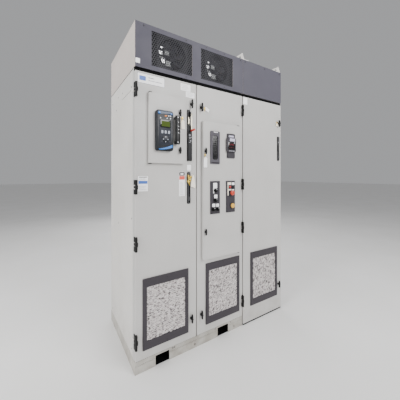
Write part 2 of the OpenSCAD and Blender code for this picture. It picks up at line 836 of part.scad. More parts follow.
module terminal_rail() color([0.62, 0.64, 0.62]) place() {
  span([520, 520 + terminals * terminal_w + 20], [592, plate_y[0]], [382, 417]);
  for (k = [0 : terminals - 1])
    span([530 + k * terminal_w, 530 + k * terminal_w + terminal_w - 1], [548, 592], [372, 427]);
  for (x = [530, 570, 610])
    span([x, x + 34], [530, plate_y[0]], [720, 800]);
}

module bus_bars() color([0.78, 0.45, 0.25]) place()
  for (x = [180, 220, 260]) span([x - 12, x + 12], bus_y, [drive_z[1], breaker_z[0]]);

core_x = [1000, 1360];
core_z = [right_base_h + shelf_t, right_base_h + shelf_t + 360];
core_y = [200, 320];
limb = 60;

module transformer_core() color([0.33, 0.34, 0.37]) place()
  slab_y(core_y) translate([core_x[0], core_z[0]]) difference() {
    square([core_x[1] - core_x[0], core_z[1] - core_z[0]]);
    for (x = [limb, 210]) translate([x, limb]) square([90, core_z[1] - core_z[0] - 2 * limb]);
  }

module transformer_coils() color([0.7, 0.36, 0.18]) place()
  for (x = [core_x[0] + limb / 2, (core_x[0] + core_x[1]) / 2, core_x[1] - limb / 2])
    translate([x, (core_y[0] + core_y[1]) / 2, core_z[0] + limb])
      linear_extrude(core_z[1] - core_z[0] - 2 * limb) difference() {
        round_rect(limb + 44, core_y[1] - core_y[0] + 60, 20);
        square([limb, core_y[1] - core_y[0]], center = true);
      }

plinth_frame();
main_frame();
right_frame();
outer_panels();
hood_covers();
hood_grilles();
lifting_angles();
mounting_plates();
fan_frames();
fan_rotor_left();
fan_rotor_middle();
frame_hinges();
cover_screws();
circuit_breaker();
drive_module();
drive_heatsink();
contactors();
terminal_rail();
bus_bars();
transformer_core();
transformer_coils();
left_door();
left_filter();
left_door_hinges();
left_handle_base();
left_handle();
left_latch_top();
left_latch_bottom();
operator_plate();
breaker_lever();
control_door();
keypad();
control_handle();
control_latch_top();
control_latch_bottom();
middle_door();
middle_filter();
middle_door_hinges();
middle_latch_top();
middle_latch_bottom();
panel_door();
meter_bezel();
relay();
pilot_plates();
selector_top();
selector_middle();
selector_low_left();
selector_low_right();
push_button_left();
push_button_right();
stop_button();
reset_button();
panel_latch_top();
panel_latch_bottom();
right_door();
right_filter();
right_handle_base();
right_handle();
right_latch_top();
right_latch_bottom();
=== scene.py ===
import json
from math import atan2, cos, pi, radians, sin, sqrt

import bmesh
import bpy
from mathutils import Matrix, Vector, noise


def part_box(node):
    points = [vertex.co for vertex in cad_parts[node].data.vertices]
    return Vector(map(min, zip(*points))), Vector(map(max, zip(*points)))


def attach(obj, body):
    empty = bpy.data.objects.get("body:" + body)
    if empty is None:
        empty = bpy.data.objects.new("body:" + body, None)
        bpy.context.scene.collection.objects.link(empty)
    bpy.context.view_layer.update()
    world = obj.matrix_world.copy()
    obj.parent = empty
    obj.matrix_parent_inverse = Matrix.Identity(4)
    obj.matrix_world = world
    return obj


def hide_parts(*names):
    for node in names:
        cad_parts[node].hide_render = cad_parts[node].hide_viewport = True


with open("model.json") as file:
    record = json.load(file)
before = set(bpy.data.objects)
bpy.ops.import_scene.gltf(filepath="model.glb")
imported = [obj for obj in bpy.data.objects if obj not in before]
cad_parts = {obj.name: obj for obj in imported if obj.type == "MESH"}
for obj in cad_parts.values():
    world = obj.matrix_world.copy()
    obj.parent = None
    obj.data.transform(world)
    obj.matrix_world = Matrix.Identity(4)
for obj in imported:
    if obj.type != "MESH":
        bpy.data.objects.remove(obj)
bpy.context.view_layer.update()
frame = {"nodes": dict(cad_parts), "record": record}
NODES = frame["nodes"]

MM = 0.001
FRONT_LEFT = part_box("hood_covers")[0]          # the cabinet's front left edge
ORIGIN = Vector((FRONT_LEFT.x, FRONT_LEFT.y, 0))


def at(x, y, z):
    """A place in millimetres from the left side, the door faces and the floor, in the row frame."""
    return ORIGIN + Vector((x, y, z)) * MM


def local(v):
    """The same millimetres, from a place in the row frame."""
    return (Vector(v) - ORIGIN) / MM


def node_mm(name):
    """A CAD node's box as (x0, x1), (y0, y1), (z0, z1) in millimetres."""
    low, high = (local(v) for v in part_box(name))
    return tuple((low[k], high[k]) for k in range(3))


# ---- camera and light

CAMERA_FROM_EDGE = (-447, -1466, 1289)
CAMERA_TURN = -32.7
LENS = 20.745
HORIZON_SHIFT = -0.0618


def make_camera():
    data = bpy.data.cameras.new("camera")
    data.sensor_width = 36
    data.lens = LENS
    data.shift_y = HORIZON_SHIFT
    data.clip_start = 0.01
    camera = bpy.data.objects.new("camera", data)
    camera.location = at(*CAMERA_FROM_EDGE)
    camera.rotation_euler = (radians(90), 0, radians(CAMERA_TURN))
    bpy.context.scene.collection.objects.link(camera)
    bpy.context.scene.camera = camera


def area_light(name, place, size, watts):
    """A soft square or oblong light that looks at the cabinet's middle."""
    data = bpy.data.lights.new(name, "AREA")
    data.shape = "RECTANGLE"
    data.size, data.size_y = size
    data.energy = watts
    light = bpy.data.objects.new(name, data)
    light.location = place
    towards = Vector((0, 0, 1.1)) - light.location
    light.rotation_euler = towards.to_track_quat("-Z", "Y").to_euler()
    bpy.context.scene.collection.objects.link(light)


def make_light():
    area_light("key", (1.4, -4.2, 3.4), (2.6, 2.6), 210)
    area_light("fill", (-4.6, -0.6, 3), (3, 3), 230)
    area_light("top", (0, 0.5, 5.2), (4, 3), 110)
    area_light("back", (1.5, 4.5, 3), (3, 3), 80)
    world = bpy.data.worlds.new("world")
    world.use_nodes = True
    background = world.node_tree.nodes["Background"].inputs
    background[0].default_value = (0.92, 0.93, 0.95, 1)
    background[1].default_value = 0.42
    bpy.context.scene.world = world


# ---- materials

def linear(r, g, b):
    """A colour given as 0 to 255 screen values, as linear values."""
    def one(v):
        v /= 255
        return v / 12.92 if v <= 0.04045 else ((v + 0.055) / 1.055) ** 2.4
    return (one(r), one(g), one(b), 1)


class Graph:
    """Builds one procedural material; every method returns a socket unless it says otherwise."""

    def __init__(self, name):
        self.material = bpy.data.materials.new(name)
        self.material.use_nodes = True
        self.nodes = self.material.node_tree.nodes
        self.shader = self.nodes["Principled BSDF"]
        self.place = self.add("TexCoord", {}, "Object")

    def fill(self, socket, value):
        """Links the socket to another one, or sets its value."""
        if isinstance(value, bpy.types.NodeSocket):
            self.material.node_tree.links.new(value, socket)
        else:
            socket.default_value = value

    def add(self, kind, inputs, output=0):
        """Adds a node and fills its inputs."""
        node = self.nodes.new("ShaderNode" + kind)
        for key, value in inputs.items():
            self.fill(node.inputs[key], value)
        return node.outputs[output]

    def surface(self, **looks):
        """Fills the shader's inputs, each named with _ for a space, and returns the graph."""
        for name, value in looks.items():
            self.fill(self.shader.inputs[name.replace("_", " ")], value)
        return self

    def now(self, name):
        """What is linked to one of the shader's inputs."""
        return self.shader.inputs[name].links[0].from_socket

    def stretched(self, scale):
        return self.add("Mapping", {"Vector": self.place, "Scale": scale})

    def noise(self, scale, detail=3.0, vector=None, distortion=0.0):
        return self.add("TexNoise", {"Vector": vector or self.place, "Scale": scale,
                                     "Detail": detail, "Distortion": distortion}, "Fac")

    def voronoi(self, scale):
        return self.add("TexVoronoi", {"Vector": self.place, "Scale": scale}, "Distance")

    def ramp(self, value, low, high, to_low=0.0, to_high=1.0):
        return self.add("MapRange", {"Value": value, "From Min": low, "From Max": high,
                                     "To Min": to_low, "To Max": to_high}, "Result")

    def math(self, kind, a, b=0):
        result = self.add("Math", {0: a, 1: b})
        result.node.operation = kind
        return result

    def product(self, a, b):
        return self.math("MULTIPLY", a, b)

    def mix(self, factor, a, b):
        node = self.nodes.new("ShaderNodeMix")
        node.data_type = "RGBA"
        self.fill(node.inputs["Factor"], factor)
        for key, value in (("A", a), ("B", b)):
            self.fill(next(s for s in node.inputs if s.name == key and s.type == "RGBA"), value)
        return next(s for s in node.outputs if s.type == "RGBA")

    def along(self, axis):
        return self.add("SeparateXYZ", {0: self.place}, axis)

    def bump(self, value, strength, distance, under=None):
        inputs = {"Strength": strength, "Distance": distance, "Height": value}
        return self.add("Bump", {**inputs, "Normal": under} if under else inputs, "Normal")


def shade(colour, factor):
    return (*(min(c * factor, 1) for c in colour[:3]), 1)


def paint(name, colour, rough, grain, depth, worn, low_darkening=0, coat=0, shine=0.5):
    """Powder coat, plastic or plain metal: mottled colour, uneven gloss and a fine grain."""
    g = Graph(name)
    base = linear(*colour)
    cloud = g.ramp(g.noise(3.1, 4), 0.3, 0.7)
    speckle = g.ramp(g.noise(grain * 0.55, 2), 0.35, 0.65)
    streak = g.ramp(g.noise(5, 5, g.stretched((9, 9, 0.7))), 0.42, 0.72)
    tint = g.mix(cloud, shade(base, 1 - worn), shade(base, 1 + worn * 0.5))
    tint = g.mix(g.product(speckle, worn * 1.2), tint, shade(base, 0.62))
    tint = g.mix(g.product(streak, worn * 0.9), tint, shade(base, 0.7))
    # patchy brownish darkening towards the floor, gone above 0.32 m
    if low_darkening:
        near_floor = g.ramp(g.along("Z"), 0.0, 0.32, low_darkening, 0.0)
        patchy = g.product(near_floor, g.ramp(g.noise(14, 5), 0.3, 0.65))
        tint = g.mix(patchy, tint, linear(142, 134, 122))
    smudge = g.noise(7.5, 6, distortion=0.6)
    waves = g.bump(g.noise(26, 2), 0.25, 0.0004)
    return g.surface(
        Base_Color=tint, Specular_IOR_Level=shine, Coat_Weight=coat, Coat_Roughness=0.12,
        Roughness=g.ramp(smudge, 0.3, 0.75, rough - 0.07, min(rough + 0.12, 1)),
        Normal=g.bump(g.noise(grain, 2), depth, 0.00025, waves))


def two_tone(name, front, back, limit):
    """Paint that changes at a depth: the part behind the limit took the cabinet's colour."""
    g = Graph(name)
    split = g.math("GREATER_THAN", g.along("Y"), at(0, limit, 0).y)
    grain = g.noise(950, 2)
    worn = g.ramp(g.noise(5, 5), 0.4, 0.75)
    near = g.mix(worn, linear(*front), shade(linear(*front), 1.5))
    far = g.mix(worn, linear(*back), shade(linear(*back), 0.93))
    return g.surface(
        Base_Color=g.mix(split, near, far), Specular_IOR_Level=0.3,
        Roughness=g.ramp(grain, 0.3, 0.7, 0.46, 0.6),
        Normal=g.bump(grain, 0.35, 0.00025))


def rear_sheet(name, colour):
    """The cabinet's paint with a row of countersunk fixings up each side of the rear panels."""
    g = paint(name, colour, 0.46, 900, 0.35, 0.06, 0.3)
    x, z = g.along("X"), g.along("Z")
    nearest = None
    for line in (22, 903, 955, 1408):
        away = g.math("ABSOLUTE", g.math("SUBTRACT", x, at(line, 0, 0).x))
        nearest = g.math("MINIMUM", nearest, away) if nearest else away
    rise = g.math("PINGPONG", g.math("SUBTRACT", z, 0.13), 0.15)
    reach = g.math("SQRT", g.math("ADD", g.product(nearest, nearest), g.product(rise, rise)))
    dots = g.mix(g.ramp(reach, 0.0055, 0.0062, 1, 0), g.now("Base Color"), linear(70, 68, 70))
    sunk = g.bump(g.ramp(reach, 0.003, 0.0075), 0.6, 0.001, g.now("Normal"))
    return g.surface(Base_Color=dots, Normal=sunk)


def brushed(name, colour, rough, along, worn=0.12):
    """Bare or plated metal: fine drawn lines along one way, and dull patches."""
    g = Graph(name)
    base = linear(*colour)
    lines = g.noise(260, 3, g.stretched(along))
    patch = g.ramp(g.noise(11, 5), 0.35, 0.7)
    tint = g.mix(g.ramp(lines, 0.3, 0.7), shade(base, 1 - worn), shade(base, 1.08))
    return g.surface(
        Base_Color=g.mix(g.product(patch, 0.35), tint, shade(base, 0.7)),
        Roughness=g.ramp(patch, 0, 1, rough, rough + 0.18), Metallic=1.0,
        Normal=g.bump(lines, 0.3, 0.0002))


def foil(name, low, high, dark):
    """Crumpled aluminium filter media, with dark pits. Its colour carries painted light and shade:
    lighter on the fold crests, darker in the folds, and dark specks and pits for the shade in the
    crinkles.
    """
    g = Graph(name)
    fine = g.noise(430, 4, distortion=0.8)
    folds = g.noise(95, 4, g.stretched((1, 1, 1.6)))
    # painted shade: small dark pits
    pits = g.ramp(g.voronoi(300), 0.0, 0.32, 1.0, 0.0)
    # painted light and shade: the folds run from the low colour to the high one
    light = g.mix(g.ramp(folds, 0.3, 0.72), linear(*low), linear(*high))
    # painted shade: dark specks in the crinkles
    speck_shade = g.mix(g.ramp(fine, 0.36, 0.6, dark, 0.0), light, linear(66, 60, 60))
    return g.surface(
        Base_Color=g.mix(g.product(pits, 0.55), speck_shade, linear(44, 40, 42)),
        Roughness=g.ramp(fine, 0.3, 0.7, 0.28, 0.62), Metallic=0.2,
        Normal=g.bump(fine, 0.9, 0.0012, g.bump(folds, 0.7, 0.003)))


def glow(name, colour, strength, rough=0.3):
    """A lit lamp or screen behind a thin clear cover."""
    g = Graph(name)
    base = linear(*colour)
    uneven = g.ramp(g.noise(240, 3), 0.3, 0.7)
    tint = g.mix(uneven, shade(base, 0.8), shade(base, 1.1))
    return g.surface(
        Base_Color=tint, Emission_Color=tint, Emission_Strength=strength,
        Roughness=g.ramp(uneven, 0, 1, rough, rough + 0.15), Specular_IOR_Level=0.2,
        Normal=g.bump(g.noise(700, 2), 0.12, 0.0002))


def print_sheet(name, colour):
    """A printed vinyl or paper label: faint fibres and soft creases. The creases are darkened with
    painted shade, and the whole label glows faintly, painted light, though it is no lamp.
    """
    g = Graph(name)
    base = linear(*colour)
    fibre = g.noise(620, 5, distortion=0.5)
    crease = g.noise(42, 3, g.stretched((1, 1, 2.2)))
    tint = g.mix(g.ramp(fibre, 0.35, 0.7), shade(base, 0.93), shade(base, 1.03))
    # painted shade: darker along the creases
    paper = g.mix(g.ramp(crease, 0.55, 0.75, 0, 0.18), tint, shade(base, 0.8))
    return g.surface(
        # painted light: the label glows faintly, though it is no lamp
        Base_Color=paper, Emission_Color=paper, Emission_Strength=0.38,
        Roughness=g.ramp(fibre, 0.3, 0.7, 0.34, 0.52),
        Normal=g.bump(crease, 0.3, 0.0006, g.bump(fibre, 0.15, 0.0002)))


# name, colour, roughness, grain size, grain depth, wear, darkening near the floor, clear coat,
# shine
PAINTS = (
    ("plinth_paint", (196, 193, 186), 0.5, 800, 0.4, 0.1, 0.75),
    ("frame_paint", (198, 197, 194), 0.48, 900, 0.3, 0.06),
    ("cabinet_paint", (214, 211, 206), 0.46, 900, 0.35, 0.06, 0.3),
    ("door_paint", (203, 201, 198), 0.46, 950, 0.35, 0.05, 0.25),
    ("hood_paint", (86, 84, 95), 0.55, 900, 0.4, 0.07, 0, 0, 0.3),
    ("hood_side_paint", (196, 187, 181), 0.52, 900, 0.35, 0.06),
    ("lifting_paint", (228, 226, 222), 0.45, 800, 0.35, 0.07),
    ("grille_black", (12, 12, 14), 0.6, 1100, 0.35, 0.12, 0, 0, 0.2),
    ("grille_grey", (58, 57, 63), 0.5, 1100, 0.35, 0.12, 0, 0, 0.3),
    ("fan_black", (30, 30, 34), 0.62, 700, 0.3, 0.12, 0, 0, 0.2),
    ("fan_plate_grey", (15, 15, 18), 0.6, 700, 0.3, 0.12, 0, 0, 0.15),
    ("rotor_grey", (84, 84, 90), 0.5, 700, 0.3, 0.12, 0, 0, 0.3),
    ("hinge_black", (20, 19, 19), 0.55, 1000, 0.35, 0.14, 0, 0, 0.25),
    ("breaker_black", (26, 26, 28), 0.45, 600, 0.25, 0.1, 0, 0, 0.3),
    ("drive_grey", (54, 56, 61), 0.5, 700, 0.3, 0.08, 0, 0, 0.35),
    ("contactor_ivory", (214, 211, 200), 0.42, 600, 0.2, 0.07),
    ("terminal_grey", (150, 152, 152), 0.45, 600, 0.2, 0.08),
    ("coil_varnish", (134, 78, 40), 0.3, 260, 0.6, 0.14, 0, 0.4),
    ("filter_grey", (60, 56, 61), 0.52, 900, 0.35, 0.08, 0, 0, 0.3),
    ("latch_black", (19, 18, 20), 0.48, 900, 0.3, 0.14, 0, 0, 0.3),
    ("handle_grey", (62, 62, 64), 0.45, 900, 0.3, 0.09, 0, 0, 0.35),
    ("operator_black", (17, 17, 21), 0.42, 800, 0.25, 0.1, 0, 0, 0.3),
    ("lever_red", (203, 66, 54), 0.42, 700, 0.25, 0.08, 0, 0.2),
    ("keypad_dark", (15, 20, 28), 0.42, 800, 0.25, 0.08, 0, 0.15, 0.3),
    ("bow_handle_black", (13, 13, 15), 0.4, 900, 0.25, 0.16, 0, 0.1, 0.3),
    ("bezel_grey", (84, 81, 88), 0.5, 800, 0.3, 0.07, 0, 0, 0.35),
    ("device_grey", (58, 55, 61), 0.5, 800, 0.3, 0.08, 0, 0, 0.35),
    ("selector_black", (14, 14, 16), 0.4, 800, 0.25, 0.12, 0, 0.15, 0.3),
    ("button_red", (182, 40, 34), 0.36, 500, 0.15, 0.08, 0, 0.4),
    ("stop_red", (206, 62, 38), 0.34, 500, 0.15, 0.08, 0, 0.4),
    ("reset_amber", (233, 178, 62), 0.32, 500, 0.15, 0.08, 0, 0.5),
    ("seal_black", (10, 10, 11), 0.78, 500, 0.6, 0.12, 0, 0, 0.1),
    ("glass_black", (9, 9, 12), 0.16, 400, 0.05, 0.1, 0, 0.6, 0.4),
    ("key_light", (176, 184, 196), 0.38, 700, 0.2, 0.06),
    ("key_dark", (38, 42, 52), 0.45, 700, 0.2, 0.06, 0, 0, 0.3),
    ("blue_band", (6, 46, 82), 0.32, 600, 0.15, 0.1, 0, 0.3, 0.4),
    # painted highlight colour for the keypad's blue rim
    ("blue_highlight", (24, 124, 214), 0.3, 600, 0.15, 0.08, 0, 0.4),
)
OTHERS = (
    (two_tone, "hinge_arm", (20, 19, 19), (214, 211, 206), 19),
    (rear_sheet, "rear_paint", (214, 211, 206)),
    (brushed, "screw_dark", (78, 76, 80), 0.4, (1, 4, 1)),
    (brushed, "zinc_plate", (196, 199, 202), 0.38, (1, 1, 0.08)),
    (brushed, "heatsink_aluminium", (188, 190, 193), 0.42, (1, 1, 0.05)),
    (brushed, "copper_bar", (196, 118, 82), 0.3, (1, 1, 0.06), 0.16),
    (brushed, "core_steel", (92, 90, 88), 0.5, (0.05, 8, 0.05), 0.2),
    (brushed, "lever_steel", (208, 200, 176), 0.36, (1, 1, 0.1)),
    (brushed, "brass", (226, 192, 84), 0.28, (1, 1, 0.2)),
    (brushed, "steel_bright", (206, 206, 208), 0.26, (1, 1, 0.1)),
    (foil, "filter_foil", (190, 180, 179), (255, 250, 248), 0.3),
    # darker copies of the foil: painted shade for the folds and valleys
    (foil, "filter_fold_shade", (120, 112, 112), (196, 188, 187), 0.6),
    (foil, "filter_valley_shade", (26, 24, 26), (70, 65, 67), 0.9),
    (glow, "screen_olive", (66, 84, 8), 0.05, 0.5),
    (glow, "lamp_white", (232, 236, 240), 0.9),
    (glow, "lamp_orange", (240, 140, 60), 0.9),
    (glow, "lamp_red", (112, 40, 44), 0.1),
    (print_sheet, "label_white", (254, 254, 255)),
    (print_sheet, "label_cream", (248, 240, 222)),
    # painted highlight colour for the relay's curved face
    (print_sheet, "relay_lilac_highlight", (196, 192, 214)),
    (print_sheet, "label_grey", (150, 150, 156)),
    (print_sheet, "label_black", (34, 30, 30)),
    (print_sheet, "label_red", (214, 84, 70)),
    (print_sheet, "label_blue", (58, 98, 178)),
)
MATERIALS = {row[0]: paint(*row).material for row in PAINTS}
MATERIALS.update((row[0], make(*row).material) for make, *row in OTHERS)


# ---- building pieces

def angles(steps):
    """Evenly spaced angles round a circle."""
    return [2 * pi * k / steps for k in range(steps)]


def rounded(cx, cz, w, h, r, steps=5):
    """Outline of a rectangle with round corners, counter-clockwise, in X and Z."""
    points = []
    for sx, sz, start in ((1, -1, -90), (1, 1, 0), (-1, 1, 90), (-1, -1, 180)):
        for k in range(steps + 1):
            a = radians(start + 90 * k / steps)
            points.append((cx + sx * (w / 2 - r) + r * cos(a),
                           cz + sz * (h / 2 - r) + r * sin(a)))
    return points


def circle(cx, cz, r, steps=28):
    return [(cx + r * cos(a), cz + r * sin(a)) for a in angles(steps)]


def box_ring(x, y, z, inset_x=0, inset_z=0):
    """The four corners of a rectangle at depth y."""
    (x0, x1), (z0, z1) = (x[0] + inset_x, x[1] - inset_x), (z[0] + inset_z, z[1] - inset_z)
    return [(x0, y, z0), (x1, y, z0), (x1, y, z1), (x0, y, z1)]


class Piece:
    """One Blender piece, built in the cabinet's millimetres and set down in the row frame."""

    def __init__(self, name, body, slot):
        self.name, self.body, self.slot_name = name, body, slot
        self.bm = bmesh.new()
        self.used = []
        self.use(slot)

    def use(self, material):
        if material not in self.used:
            self.used.append(material)
        self.index = self.used.index(material)
        return self

    def face(self, verts):
        self.bm.faces.new(verts).material_index = self.index

    def loops(self, rings, cap_first=True, cap_last=True):
        """Skin over a row of closed rings of the same length."""
        rows = [[self.bm.verts.new(p) for p in ring] for ring in rings]
        n = len(rows[0])
        for low, high in zip(rows, rows[1:]):
            for k in range(n):
                self.face((low[k], low[(k + 1) % n], high[(k + 1) % n], high[k]))
        if cap_first:
            self.face(rows[0][::-1])
        if cap_last:
            self.face(rows[-1])

    def slab(self, outline, front, back, edge=0.0, steps=2):
        """A plate from y = front to y = back whose front rim is rounded by edge."""
        cx = sum(p[0] for p in outline) / len(outline)
        cz = sum(p[1] for p in outline) / len(outline)
        half_w = max(abs(p[0] - cx) for p in outline)
        half_h = max(abs(p[1] - cz) for p in outline)

        def ring(inset, y):
            fx, fz = 1 - inset / half_w, 1 - inset / half_h
            return [(cx + (x - cx) * fx, y, cz + (z - cz) * fz) for x, z in outline]
        rings = []
        for k in range(steps + 1 if edge else 1):
            a = radians(90 * k / steps) if edge else 0
            rings.append(ring(edge * (1 - sin(a)), front + edge * (1 - cos(a))))
        self.loops(rings + [ring(0, back)])

    def plates(self, material, face, rows, edge=0.0, steps=2):
        """Slabs with round corners. Rows hold x, z, width, height, corner, front and back, the
        last two from y = face."""
        self.use(material)
        for x, z, w, h, r, front, back in rows:
            self.slab(rounded(x, z, w, h, r), face + front, face + back, edge, steps)

    def sheets(self, material, front, back, corner, *boxes):
        """Thin sheets over boxes of x0, x1, z0, z1."""
        self.use(material)
        for x0, x1, z0, z1 in boxes:
            self.slab(rounded((x0 + x1) / 2, (z0 + z1) / 2, x1 - x0, z1 - z0, corner), front, back)

    def block(self, x, y, z, edge=0.4):
        """A box between two values on each axis, its edges cut by a small bevel."""
        levels = ((edge, y[0]), (0, y[0] + edge), (0, y[1] - edge), (edge, y[1]))
        self.loops([box_ring(x, level, z, inset, inset) for inset, level in levels])

    def turned(self, x, z, profile, steps=28, cap_first=True, cap_last=True):
        """A shape turned about a line along Y through x and z; profile lists (y, radius)."""
        self.loops([[(x + r * cos(a), y, z + r * sin(a)) for a in angles(steps)]
                    for y, r in profile], cap_first, cap_last)

    def tube(self, path, radius, steps, closed=False):
        """A round bar along a path of points."""
        path = [Vector(p) for p in path]
        count = len(path)
        rings = []
        for k, p in enumerate(path):
            before = path[k - 1] if k or closed else p
            after = path[(k + 1) % count] if k + 1 < count or closed else p
            way = (after - before).normalized()
            side = way.cross(Vector((0.31, 0.2, 1))).normalized()
            up = side.cross(way)
            rings.append([p + side * (radius * cos(a)) + up * (radius * sin(a))
                          for a in angles(steps)])
        if closed:
            rings.append(rings[0])
        self.loops(rings, not closed, not closed)

    def hoop(self, x, y, z, wide, tall, radius, points, steps):
        """A closed loop of round wire, facing the front."""
        self.tube([(x + wide * cos(a), y, z + tall * sin(a)) for a in angles(points)],
                  radius, steps, closed=True)

    def screw(self, x, z, face, r=4, head=2.2, material="screw_dark"):
        """A pan head with a cross recess, standing on y = face; the recess is a thin black cross
        just in front of the head, painted shade.
        """
        old = self.index
        self.use(material)
        self.turned(x, z, [(face - head, r * 0.5), (face - head * 0.9, r * 0.8),
                           (face - head * 0.55, r), (face, r)], 16)
        # painted shade: the cross recess is a flat black cross
        self.use("seal_black")
        for w, h in ((r * 0.55, r * 0.14), (r * 0.14, r * 0.55)):
            self.slab([(x - w, z - h), (x + w, z - h), (x + w, z + h), (x - w, z + h)],
                      face - head - 0.05, face - head + 0.3)
        self.index = old

    def done(self, *replaced, crease=34):
        """Makes the object, which stands in for the CAD nodes named."""
        bm = self.bm
        bmesh.ops.remove_doubles(bm, verts=bm.verts, dist=0.0005)
        bmesh.ops.recalc_face_normals(bm, faces=bm.faces)
        for edge in bm.edges:
            edge.smooth = (len(edge.link_faces) == 2
                           and edge.calc_face_angle(3.2) < radians(crease))
        for vert in bm.verts:
            vert.co = at(*vert.co)
        mesh = bpy.data.meshes.new(self.name)
        bm.to_mesh(mesh)
        bm.free()
        mesh.shade_smooth()
        for name in self.used:
            mesh.materials.append(MATERIALS[name])
        piece = bpy.data.objects.new(self.name, mesh)
        bpy.context.scene.collection.objects.link(piece)
        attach(piece, self.body)
        if replaced:
            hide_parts(*replaced)


# ---- looks of the CAD parts

SLOTS = {s["node"]: s["material_slot"] for s in frame["record"]["subparts"]}
ROUNDING_MM = {
    "plinth_frame": 1.2, "main_frame": 0.8, "right_frame": 0.8, "outer_panels": 0.9,
    "hood_covers": 1.4, "lifting_angles": 0.8, "left_door": 1.2, "middle_door": 1.2,
    "right_door": 1.2, "control_door": 0.8, "panel_door": 0.8, "circuit_breaker": 2.0,
    "drive_module": 2.0, "contactors": 1.4, "transformer_coils": 3.0}


def modify(node, kind, **settings):
    modifier = node.modifiers.new(kind.lower(), kind)
    for key, value in settings.items():
        setattr(modifier, key, value)


def soften(node, width):
    """Rolls the CAD part's sharp edges and cleans its shading; the mesh itself stays."""
    modify(node, "WELD", merge_threshold=0.00002)
    modify(node, "DECIMATE", decimate_type="DISSOLVE", angle_limit=radians(0.6))
    modify(node, "BEVEL", width=width * MM, segments=2, limit_method="ANGLE",
           angle_limit=radians(38), use_clamp_overlap=True, harden_normals=True)
    modify(node, "WEIGHTED_NORMAL", keep_sharp=True)


def paint_faces(node, second, where):
    """Gives the faces chosen by where(centre in mm, normal) a second material."""
    node.data.materials.append(MATERIALS[second])
    for polygon in node.data.polygons:
        if where(local(polygon.center), polygon.normal):
            polygon.material_index = len(node.data.materials) - 1


def dress_cad():
    for name, node in NODES.items():
        mesh = node.data
        mesh.materials.clear()
        mesh.materials.append(MATERIALS[SLOTS[name]])
        for polygon in mesh.polygons:
            polygon.material_index = 0
        mesh.shade_smooth()
        soften(node, ROUNDING_MM.get(name, 0.5))
    paint_faces(NODES["hood_covers"], "hood_side_paint",
                lambda c, n: abs(n.x) > 0.5 or n.z > 0.5 or c.y > 12)
    paint_faces(NODES["outer_panels"], "rear_paint", lambda c, n: n.y > 0.5 and c.y > 690)
    NODES["frame_hinges"].data.materials[0] = MATERIALS["hinge_arm"]
    # painted shade: the walls inside the fork pockets are painted black
    paint_faces(NODES["plinth_frame"], "seal_black",
                lambda c, n: 40 < c.y < 690 and (140 < c.x < 245 or 663 < c.x < 774) and c.z < 75)


# ---- seams, seals and side details

def build_black_blocks(name, slot, edge, *blocks):
    """A fixed piece of black blocks, each x0, x1, y0, y1, z0, z1."""
    piece = Piece(name, "cabinet", slot).use("seal_black")
    for x0, x1, y0, y1, z0, z1 in blocks:
        piece.block((x0, x1), (y0, y1), (z0, z1), edge)
    piece.done()


def build_seals():
    """Black strips standing for the shadow in the gaps between the doors and the frame, and a black
    strip over the rail for the shade in the gap under the hood: both painted shade.
    """
    y = (25.4, 26.9)
    # painted shade: black strips in the door gaps and along their tops
    build_black_blocks("door_gap_shade", "frame_paint", 0.3, (4, 922, *y, 1965.8, 1989.2),
                       (936, 1426, *y, 1965.8, 1989.2), (459.6, 466.4, *y, 90, 1965),
                       (924, 932.4, *y, 90, 1965))
    # painted shade: a black strip over the rail in the gap under the hood
    build_black_blocks("hood_gap_shade", "frame_paint", 1.2, (2, 923, 6, 26.8, 1967, 1988),
                       (934.5, 1428, 6, 26.8, 1967, 1988))


def build_side_details():
    """Plugged holes and the folded seam of the left side panel."""
    plugs = Piece("side_plugs", "cabinet", "cabinet_paint").use("screw_dark")
    for y, z, r in ((80, 1880, 6), (310, 1905, 6), (440, 1910, 6), (500, 1820, 6), (75, 1000, 6),
                    (430, 910, 6), (640, 1905, 6), (640, 130, 5), (80, 130, 5)):
        plugs.loops([[(level, y + rad * cos(a), z + rad * sin(a)) for a in angles(18)]
                     for level, rad in ((0.2, r), (-0.3, r), (-0.6, r * 0.7))])
    plugs.use("seal_black")
    for k in range(24):
        plugs.block((-0.35, 0.2), (8 + 28.8 * k, 30 + 28.8 * k), (1985.5, 1991.5), 0.1)
    for k in range(9):
        plugs.block((-0.3, 0.2), (92 + 27 * k, 106 + 27 * k), (1857.5, 1861.5), 0.1)
    plugs.done()


def build_plinth_details():
    """Plinth fixings and two rows of short dark marks, broken at the fork pockets."""
    bolts = Piece("plinth_bolts", "cabinet", "plinth_paint")
    for x in (270, 284, 640, 800):
        bolts.screw(x, 72, 6.2, 4.2, 2)
    bolts.use("seal_black")
    for k in range(74):
        x = 6 + k * 12.4
        bolts.block((x, x + 7), (5.5, 6.1), (81.5, 84.4), 0.1)
        if not (135 < x < 245 or 657 < x < 775):
            bolts.block((x, x + 5), (5.6, 6.1), (54.6, 56.2), 0.1)
    bolts.done()


def build_shadow_gaps():
    """Black skins of painted shade: the floor of each fork pocket, and the sill under the right
    door.
    """
    # painted shade: black skins on the pocket floors and under the right door
    build_black_blocks("pocket_and_sill_shade", "plinth_paint", 0.2, (143, 242, 12, 696, 0.4, 2),
                       (666, 771, 12, 696, 0.4, 2), (934, 1427, 0.6, 2.6, 0.6, 10.6))


def build_hinge_sleeves():
    """Wider plastic sleeve round the middle of every hinge."""
    sleeves = Piece("hinge_sleeves", "cabinet", "hinge_black")
    for x in (6, 921):
        for z in (217, 845, 1213, 1841):
            sleeves.loops([[(x + reach * cos(a), -14 - reach * sin(a), z + level)
                            for a in angles(24)]
                           for level, reach in ((-13.5, 8.2), (-12, 9.4), (-6, 10), (6, 10),
                                                (12, 9.4), (13.5, 8.2))])
    sleeves.done()


# ---- door filters

